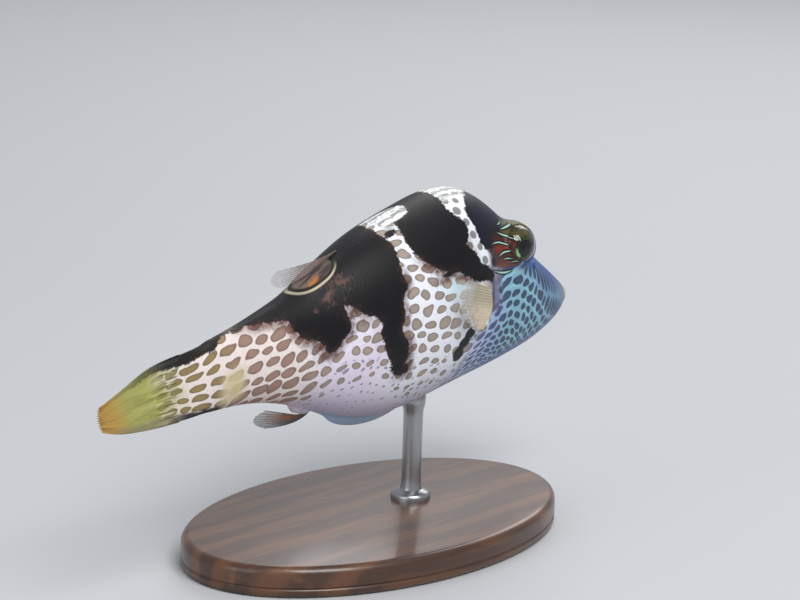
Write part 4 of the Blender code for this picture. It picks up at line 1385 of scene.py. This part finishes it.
def make_web(name, centre, rays, start, thick, finish, node):
    """The thin skin of a fin, closed all round, with its fan coordinates kept for the finish."""
    columns = (rays - 1) * WEB_FACETS + 1
    across = np.linspace(0.0, 1.0, columns)[:, None]
    along = np.linspace(start, 1.0, WEB_ROWS)[None, :]
    web = np.sin(math.pi * across * (rays - 1)) ** 2
    middle = place(*centre(across, along, web))
    normal = np.cross(np.gradient(middle, axis=0), np.gradient(middle, axis=1))
    normal /= np.linalg.norm(normal, axis=-1, keepdims=True)
    half = thick / 2 * (1 - 0.6 * ease(along, 0.8, 1.0))[..., None]
    sheets = [in_frame(middle + sign * half * normal).reshape(-1, 3) for sign in (1, -1)]
    count = columns * WEB_ROWS
    index = np.arange(count).reshape(columns, WEB_ROWS)
    faces = []
    for sheet, turn in ((index, 1), (index + count, -1)):
        quads = np.stack([sheet[:-1, :-1], sheet[1:, :-1], sheet[1:, 1:], sheet[:-1, 1:]], axis=-1)
        faces += quads.reshape(-1, 4)[:, ::turn].tolist()
    rim = list(index[:-1, 0]) + list(index[-1, :-1]) + list(index[:0:-1, -1]) + list(index[0, :0:-1])
    faces += [(after, spot, spot + count, after + count) for spot, after in zip(rim, rim[1:] + rim[:1])]
    mesh = bpy.data.meshes.new(name)
    mesh.from_pydata(np.concatenate(sheets).tolist(), [], [[int(k) for k in face] for face in faces])
    with opened(mesh) as work:
        face_outwards(work)
    fan = np.stack(np.broadcast_arrays(across, along, 1 - web), axis=-1).reshape(-1, 3)
    set_attribute(mesh, "fan", np.concatenate([fan, fan]))
    set_attribute(mesh, "side", np.repeat((-1.0, 1.0), len(fan)))
    return add_mesh(name, mesh, finish, [node] if node else ())


def ray_tree():
    """Nodes that give every guide line a round body whose radius follows the guide's own."""
    tree = bpy.data.node_groups.new("fin_rays", "GeometryNodeTree")
    given_kinds = {"Guides": "Geometry", "Sides": "Int", "Thickness": "Float", "Finish": "Material"}
    for label, kind in given_kinds.items():
        tree.interface.new_socket(label, in_out="INPUT", socket_type="NodeSocket" + kind)
    tree.interface.new_socket("Rays", in_out="OUTPUT", socket_type="NodeSocketGeometry")

    def add(kind, inputs, **settings):
        node = tree.nodes.new(kind)
        for name, value in settings.items():
            setattr(node, name, value)
        for name, value in inputs.items():
            if isinstance(value, bpy.types.NodeSocket):
                tree.links.new(value, node.inputs[name])
            else:
                node.inputs[name].default_value = value
        return node

    given = tree.nodes.new("NodeGroupInput").outputs
    lines = add("GeometryNodeMeshToCurve", {"Mesh": given["Guides"]})
    profile = add("GeometryNodeCurvePrimitiveCircle", {"Resolution": given["Sides"], "Radius": 1.0})
    taper = add("GeometryNodeInputNamedAttribute", {"Name": "taper"}, data_type="FLOAT")
    scale = add("ShaderNodeMath", {0: taper.outputs[0], 1: given["Thickness"]}, operation="MULTIPLY")
    body = add("GeometryNodeCurveToMesh", {"Curve": lines.outputs[0], "Profile Curve": profile.outputs[0],
                                           "Scale": scale.outputs[0], "Fill Caps": True})
    smooth = add("GeometryNodeSetShadeSmooth", {"Geometry": body.outputs[0]})
    real = add("GeometryNodeRealizeInstances", {"Geometry": smooth.outputs[0]})
    painted = add("GeometryNodeSetMaterial", {"Geometry": real.outputs[0], "Material": given["Finish"]})
    result = tree.nodes.new("NodeGroupOutput")
    tree.links.new(painted.outputs[0], result.inputs[0])
    return tree


def make_rays(name, centre, rays, start, thickness, finish, fork=0.5, extend=None):
    """Tapering rays along a fin, each forked towards its tip, built by Geometry Nodes on guide lines."""
    along = np.linspace(start, RAY_END, RAY_STEPS)
    gap = 1.0 / (rays - 1)
    points, edges, taper, fan = [], [], [], []
    for k in range(rays):
        for branch in (-1, 1):
            opening = FORK_SPREAD * gap * branch * np.clip((along - fork) / (1 - fork), 0.0, 1.0) ** 1.1
            across = np.clip(k * gap + opening, 0.0, 1.0)
            line = place(*centre(across, along, 0.0))
            first = len(points)
            points.extend(in_frame(line))
            edges.extend((first + i, first + i + 1) for i in range(len(line) - 1))
            taper.extend(1.0 - RAY_TAPER * np.clip(along, 0.0, 1.0) ** 0.9)
            fan.extend(np.stack([across, along, 0 * along + 1.0], axis=-1))
    guides = bpy.data.meshes.new(name + "_guides")
    guides.from_pydata([list(map(float, point)) for point in points], edges, [])
    set_attribute(guides, "taper", taper)
    set_attribute(guides, "fan", fan)
    if extend:
        extend(guides)
    carrier = add_object(name + "_guides", guides)
    tree = bpy.data.node_groups.get("fin_rays") or ray_tree()
    maker = carrier.modifiers.new("rays", "NODES")
    maker.node_group = tree
    sockets = {item.name: item.identifier for item in tree.interface.items_tree if item.in_out == "INPUT"}
    maker[sockets["Sides"]] = RAY_SIDES
    maker[sockets["Thickness"]] = thickness * MM
    maker[sockets["Finish"]] = finish
    evaluated = carrier.evaluated_get(bpy.context.evaluated_depsgraph_get())
    mesh = bpy.data.meshes.new_from_object(evaluated)
    carrier.modifiers.remove(maker)
    bpy.data.objects.remove(carrier)
    with opened(mesh) as work:
        bmesh.ops.recalc_face_normals(work, faces=work.faces)
    return add_mesh(name, mesh, finish)


def oval_profile(work, centre, half, profile):
    """Stack ovals, given as inset and height, into one closed form."""
    rows = []
    for inset, height in profile:
        turns = np.linspace(0.0, 2 * math.pi, OVAL_COLUMNS, endpoint=False)
        spots = ((centre[0] + (half[0] - inset) * math.cos(t), centre[1] + (half[1] - inset) * math.sin(t),
                  height) for t in turns)
        rows.append([work.verts.new(spot) for spot in spots])
    for row, following in zip(rows, rows[1:]):
        for i in range(OVAL_COLUMNS):
            j = (i + 1) % OVAL_COLUMNS
            work.faces.new((row[i], row[j], following[j], following[i]))
    work.faces.new(rows[0][::-1])
    work.faces.new(rows[-1])


def make_plinth(finish):
    """The oval plinth with a rounded foot, a waist line and a rounded top edge."""
    low, high = (np.array(corner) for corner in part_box("stand_base"))
    middle = (low + high) / 2
    half = (high - low) / 2
    groove = low[2] + (high[2] - low[2]) * GROOVE_SHARE
    profile = [(inset, low[2] + rise) for inset, rise in PLINTH_FOOT]
    profile += [(inset, groove + rise) for inset, rise in PLINTH_GROOVE]
    profile += [(PLINTH_ROUND * (1 - math.cos(t)), high[2] - PLINTH_ROUND + PLINTH_ROUND * math.sin(t))
                for t in np.linspace(0.0, math.pi / 2, 10)]
    work = bmesh.new()
    oval_profile(work, middle, half, profile)
    bmesh.ops.recalc_face_normals(work, faces=work.faces)
    piece = add_piece("plinth", work, finish, ["stand_base"])
    piece.data.set_sharp_from_angle(angle=math.radians(50))


def make_rod(finish):
    """A turned rod with a collar at its foot and a small cup under the belly."""
    low, high = (np.array(corner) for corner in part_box("stand_rod"))
    middle = (low + high) / 2
    radius = (high[0] - low[0]) / 2
    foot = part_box("stand_base")[1][2]
    top = high[2] + ROD_INTO_BELLY
    profile = [(radius * share, foot + rise) for share, rise in ROD_COLLAR]
    profile += [(radius * ROD_WAIST, z) for z in np.linspace(foot + 0.004, top - 0.003, 6)]
    profile += [(radius * share, top - drop) for share, drop in ROD_CUP]
    work = bmesh.new()
    closed = [(0.0, profile[0][1]), *profile, (0.0, profile[-1][1])]
    centre = np.array((middle[0], middle[1], 0.0))
    revolve(work, closed, ROD_COLUMNS, centre, np.eye(3))
    bmesh.ops.recalc_face_normals(work, faces=work.faces)
    piece = add_piece("rod", work, finish, ["stand_rod"])
    piece.data.set_sharp_from_angle(angle=math.radians(45))


def colour_setting(name, description, red, green, blue):
    return bpy.props.FloatVectorProperty(name=name, description=description, subtype="COLOR",
                                         default=tint(red, green, blue), min=0.0, max=1.0)


class PufferLooks(bpy.types.PropertyGroup):
    """Colours and sizes that can be changed before the pieces are made."""

    white: colour_setting("Net white", "Net between the cells of the flank", 232, 234, 242)
    cell: colour_setting("Cell tan", "Cells of the flank", 148, 136, 126)
    # The belly's own pale tint, darkened with painted shade of the underside.
    belly: colour_setting("Belly lavender", "Plain skin of the belly", 190, 186, 208)
    saddle: colour_setting("Saddle black", "Dark saddles over the back", 12, 11, 15)
    head_top: colour_setting("Crown blue", "Smooth skin on top of the snout", 64, 86, 142)
    head_net: colour_setting("Cheek turquoise", "Net between the cells of the head", 130, 178, 202)
    head_cell: colour_setting("Cheek blue", "Dark cells and lines of the head", 20, 44, 72)
    head_low: colour_setting("Chin lilac", "Skin of the chin and throat", 100, 110, 166)
    iris: colour_setting("Iris green", "Ground colour of the iris", 38, 54, 20)
    iris_gold: colour_setting("Iris gold", "Fibres of the iris", 104, 100, 38)
    pupil: colour_setting("Pupil", "Deep colour of the lens", 3, 7, 5)
    caudal: colour_setting("Tail yellow", "Web of the caudal fin", 172, 174, 96)
    caudal_tip: colour_setting("Tail tip orange", "Worn edge of the caudal fin", 200, 150, 56)
    wood: colour_setting("Walnut", "Ground colour of the plinth", 66, 40, 26)
    web: bpy.props.FloatProperty(
        name="Web thickness", description="Thickness of the skin between fin rays, in millimetres",
        default=0.14, min=0.05, max=0.5)
    ray: bpy.props.FloatProperty(
        name="Ray radius", description="Radius of a caudal ray at its root, in millimetres",
        default=0.2, min=0.05, max=0.4)


class StudioLooks(bpy.types.PropertyGroup):
    """Floor, light and camera."""

    floor: colour_setting("Floor", "Colour of the floor", 192, 194, 198)
    azimuth: bpy.props.FloatProperty(
        name="Azimuth", description="Way to the camera, from straight ahead of the fish", subtype="ANGLE",
        default=math.radians(-138.5))
    elevation: bpy.props.FloatProperty(
        name="Elevation", description="Height of the camera above the horizon", subtype="ANGLE",
        default=math.radians(14.2))
    roll: bpy.props.FloatProperty(
        name="Roll", description="Turn of the camera round its own view", subtype="ANGLE",
        default=math.radians(1.8))
    distance: bpy.props.FloatProperty(
        name="Distance", description="Distance from the camera to the fish", subtype="DISTANCE",
        default=0.45)
    lens: bpy.props.FloatProperty(
        name="Lens", description="Focal length in millimetres", default=157.05)
    shift_x: bpy.props.FloatProperty(
        name="Shift across", description="Sideways shift of the view", default=0.0139)
    shift_y: bpy.props.FloatProperty(
        name="Shift up", description="Upward shift of the view", default=0.02125)


class PUFFER_OT_skin(bpy.types.Operator):
    """One skin over head, trunk and tail"""

    bl_idname = "puffer.skin"
    bl_label = "Skin"

    def execute(self, context):
        mesh = skin_mesh()
        finish_skin_mesh(mesh)
        with opened(mesh) as work:
            face_outwards(work)
        finish = skin_finish(context.scene.puffer_looks)
        add_mesh("skin", mesh, finish, ["head", "trunk", "tail"])
        return {"FINISHED"}


class PUFFER_OT_eyes(bpy.types.Operator):
    """Both eyes, each a ball with iris and lens under a clear shell"""

    bl_idname = "puffer.eyes"
    bl_label = "Eyes"

    def execute(self, context):
        finish = eye_finish(context.scene.puffer_looks)
        clear = cornea_finish()
        for side in (-1, 1):
            make_eye(side, finish, clear)
        return {"FINISHED"}


class PUFFER_OT_beak(bpy.types.Operator):
    """The plates of the beak in the mouth"""

    bl_idname = "puffer.beak"
    bl_label = "Beak"

    def execute(self, context):
        make_beak(beak_finish())
        return {"FINISHED"}


class PUFFER_OT_small_fins(bpy.types.Operator):
    """Dorsal and anal fins"""

    bl_idname = "puffer.small_fins"
    bl_label = "Dorsal and anal fins"

    def execute(self, context):
        looks = context.scene.puffer_looks
        dorsal = web_finish("dorsal_web", tint(150, 128, 118), tint(150, 144, 148), tint(150, 128, 118),
                            0.5, 0.88, tint(122, 112, 114))
        anal = web_finish("anal_web", tint(92, 84, 84), tint(112, 108, 110), tint(158, 104, 62),
                          0.25, 0.7, tint(64, 58, 58))
        for name, centre, rays, web in (("dorsal", dorsal_centre(), DORSAL_RAYS, dorsal),
                                        ("anal", anal_centre(), ANAL_RAYS, anal)):
            slot = name + "_fin"
            make_web("web_" + name, centre, rays, SMALL_FIN_START, looks.web, web, "fin_" + name)
            make_rays("rays_" + name, centre, rays, SMALL_FIN_START, looks.ray * 0.45, web)
        return {"FINISHED"}


class PUFFER_OT_caudal_fin(bpy.types.Operator):
    """Caudal fin"""

    bl_idname = "puffer.caudal_fin"
    bl_label = "Caudal fin"

    def execute(self, context):
        looks = context.scene.puffer_looks

        def extend(mesh):
            """Carry the body's own coordinates on over the fin."""
            across, along, _ = get_vectors(mesh, "fan").T
            back, _, height = caudal_centre(across, along, 0.0)
            girth = caudal_upper(along) - height
            set_attribute(mesh, "lie", np.stack([back, girth, across], axis=-1))
            set_attribute(mesh, "saddle", saddle_depth(back, girth, np.ones(len(back))))

        finish = caudal_finish(looks)
        web = make_web("web_caudal", caudal_centre, CAUDAL_RAYS, 0.05, looks.web, finish,
                       "fin_caudal")
        extend(web.data)
        make_rays("rays_caudal", caudal_centre, CAUDAL_RAYS, 0.3, looks.ray * 0.75, finish,
                  extend=extend)
        return {"FINISHED"}


class PUFFER_OT_pectoral_fins(bpy.types.Operator):
    """Pectoral fins on both sides"""

    bl_idname = "puffer.pectoral_fins"
    bl_label = "Pectoral fins"

    def execute(self, context):
        looks = context.scene.puffer_looks
        web = web_finish("pectoral_web", tint(164, 152, 124), tint(246, 246, 246), tint(208, 190, 160),
                         0.0, 0.88, tint(170, 150, 120))
        for side, spread, name in ((-1, 2.7, "right"), (1, 4.6, "left")):
            centre = pectoral_centre(side, spread)
            make_web("web_pectoral_" + name, centre, PECTORAL_RAYS, PECTORAL_START, looks.web, web,
                     "fin_pectoral_" + name)
            make_rays("rays_pectoral_" + name, centre, PECTORAL_RAYS, PECTORAL_START, looks.ray * 0.33, web,
                      fork=0.6)
        return {"FINISHED"}


class PUFFER_OT_stand(bpy.types.Operator):
    """Plinth and rod"""

    bl_idname = "puffer.stand"
    bl_label = "Stand"

    def execute(self, context):
        make_plinth(wood_finish(context.scene.puffer_looks))
        make_rod(steel_finish())
        return {"FINISHED"}


def add_light(name, spot, aim, size, power, colour):
    lamp = bpy.data.lights.new(name, "AREA")
    lamp.size = size
    lamp.energy = power
    lamp.color = colour
    light = add_object(name, lamp)
    light.location = spot
    light.rotation_euler = (aim - spot).to_track_quat("-Z", "Y").to_euler()


class PUFFER_OT_studio(bpy.types.Operator):
    """Floor, lights and camera"""

    bl_idname = "puffer.studio"
    bl_label = "Studio"

    def execute(self, context):
        studio = context.scene.puffer_studio
        mesh = bpy.data.meshes.new("studio_floor")
        with opened(mesh) as work:
            bmesh.ops.create_grid(work, x_segments=4, y_segments=4, size=FLOOR_HALF_SIZE)
        mesh.materials.append(floor_finish(studio))
        floor = add_object("studio_floor", mesh)
        centre = Vector(in_frame(place(SPINE_MIDDLE, 0.0, 0.0)))
        heading = Vector((math.cos(studio.azimuth), math.sin(studio.azimuth), 0.0))
        back = heading * math.cos(studio.elevation) + Vector((0.0, 0.0, math.sin(studio.elevation)))
        across = Vector((-heading.y, heading.x, 0.0))
        upward = back.cross(across)
        right = across * math.cos(studio.roll) + upward * math.sin(studio.roll)
        upward = upward * math.cos(studio.roll) - across * math.sin(studio.roll)
        view = bpy.data.cameras.new("camera")
        view.sensor_width = 36.0
        view.lens = studio.lens
        view.shift_x = studio.shift_x
        view.shift_y = studio.shift_y
        view.clip_start = 0.01
        view.clip_end = 20.0
        camera = add_object("camera", view)
        turn = Matrix((right, upward, back)).transposed().to_4x4()
        camera.matrix_world = Matrix.Translation(centre + back * studio.distance) @ turn
        context.scene.camera = camera
        for name, nearer, aside, above, size, power, colour in LIGHTS:
            spot = centre + back * nearer + right * aside + Vector((0.0, 0.0, above))
            add_light(name, spot, centre, size, power, colour)
        sky = bpy.data.worlds.get("studio") or bpy.data.worlds.new("studio")
        sky.use_nodes = True
        background = sky.node_tree.nodes["Background"]
        background.inputs["Color"].default_value = (*SKY_COLOUR, 1.0)
        background.inputs["Strength"].default_value = SKY_STRENGTH
        context.scene.world = sky
        context.scene.view_settings.view_transform = "Standard"
        return {"FINISHED"}


class PUFFER_PT_panel(bpy.types.Panel):
    """Lists the pieces of the puffer"""

    bl_label = "Valentini puffer"
    bl_space_type = "VIEW_3D"
    bl_region_type = "UI"
    bl_category = "Puffer"

    def draw(self, context):
        for operator in OPERATORS:
            self.layout.operator(operator.bl_idname)
        for group in (context.scene.puffer_looks, context.scene.puffer_studio):
            for name in group.bl_rna.properties.keys():
                if name not in ("rna_type", "name"):
                    self.layout.prop(group, name)


OPERATORS = (PUFFER_OT_skin, PUFFER_OT_eyes, PUFFER_OT_beak, PUFFER_OT_small_fins, PUFFER_OT_caudal_fin,
             PUFFER_OT_pectoral_fins, PUFFER_OT_stand, PUFFER_OT_studio)
CLASSES = (PufferLooks, StudioLooks, *OPERATORS, PUFFER_PT_panel)


def register():
    for one in CLASSES:
        bpy.utils.register_class(one)
    bpy.types.Scene.puffer_looks = bpy.props.PointerProperty(type=PufferLooks)
    bpy.types.Scene.puffer_studio = bpy.props.PointerProperty(type=StudioLooks)


def unregister():
    del bpy.types.Scene.puffer_studio
    del bpy.types.Scene.puffer_looks
    for one in reversed(CLASSES):
        bpy.utils.unregister_class(one)


def main():
    register()
    bpy.ops.puffer.skin()
    bpy.ops.puffer.eyes()
    bpy.ops.puffer.beak()
    bpy.ops.puffer.small_fins()
    bpy.ops.puffer.caudal_fin()
    bpy.ops.puffer.pectoral_fins()
    bpy.ops.puffer.stand()
    bpy.ops.puffer.studio()


if __name__ == "__main__":
    main()
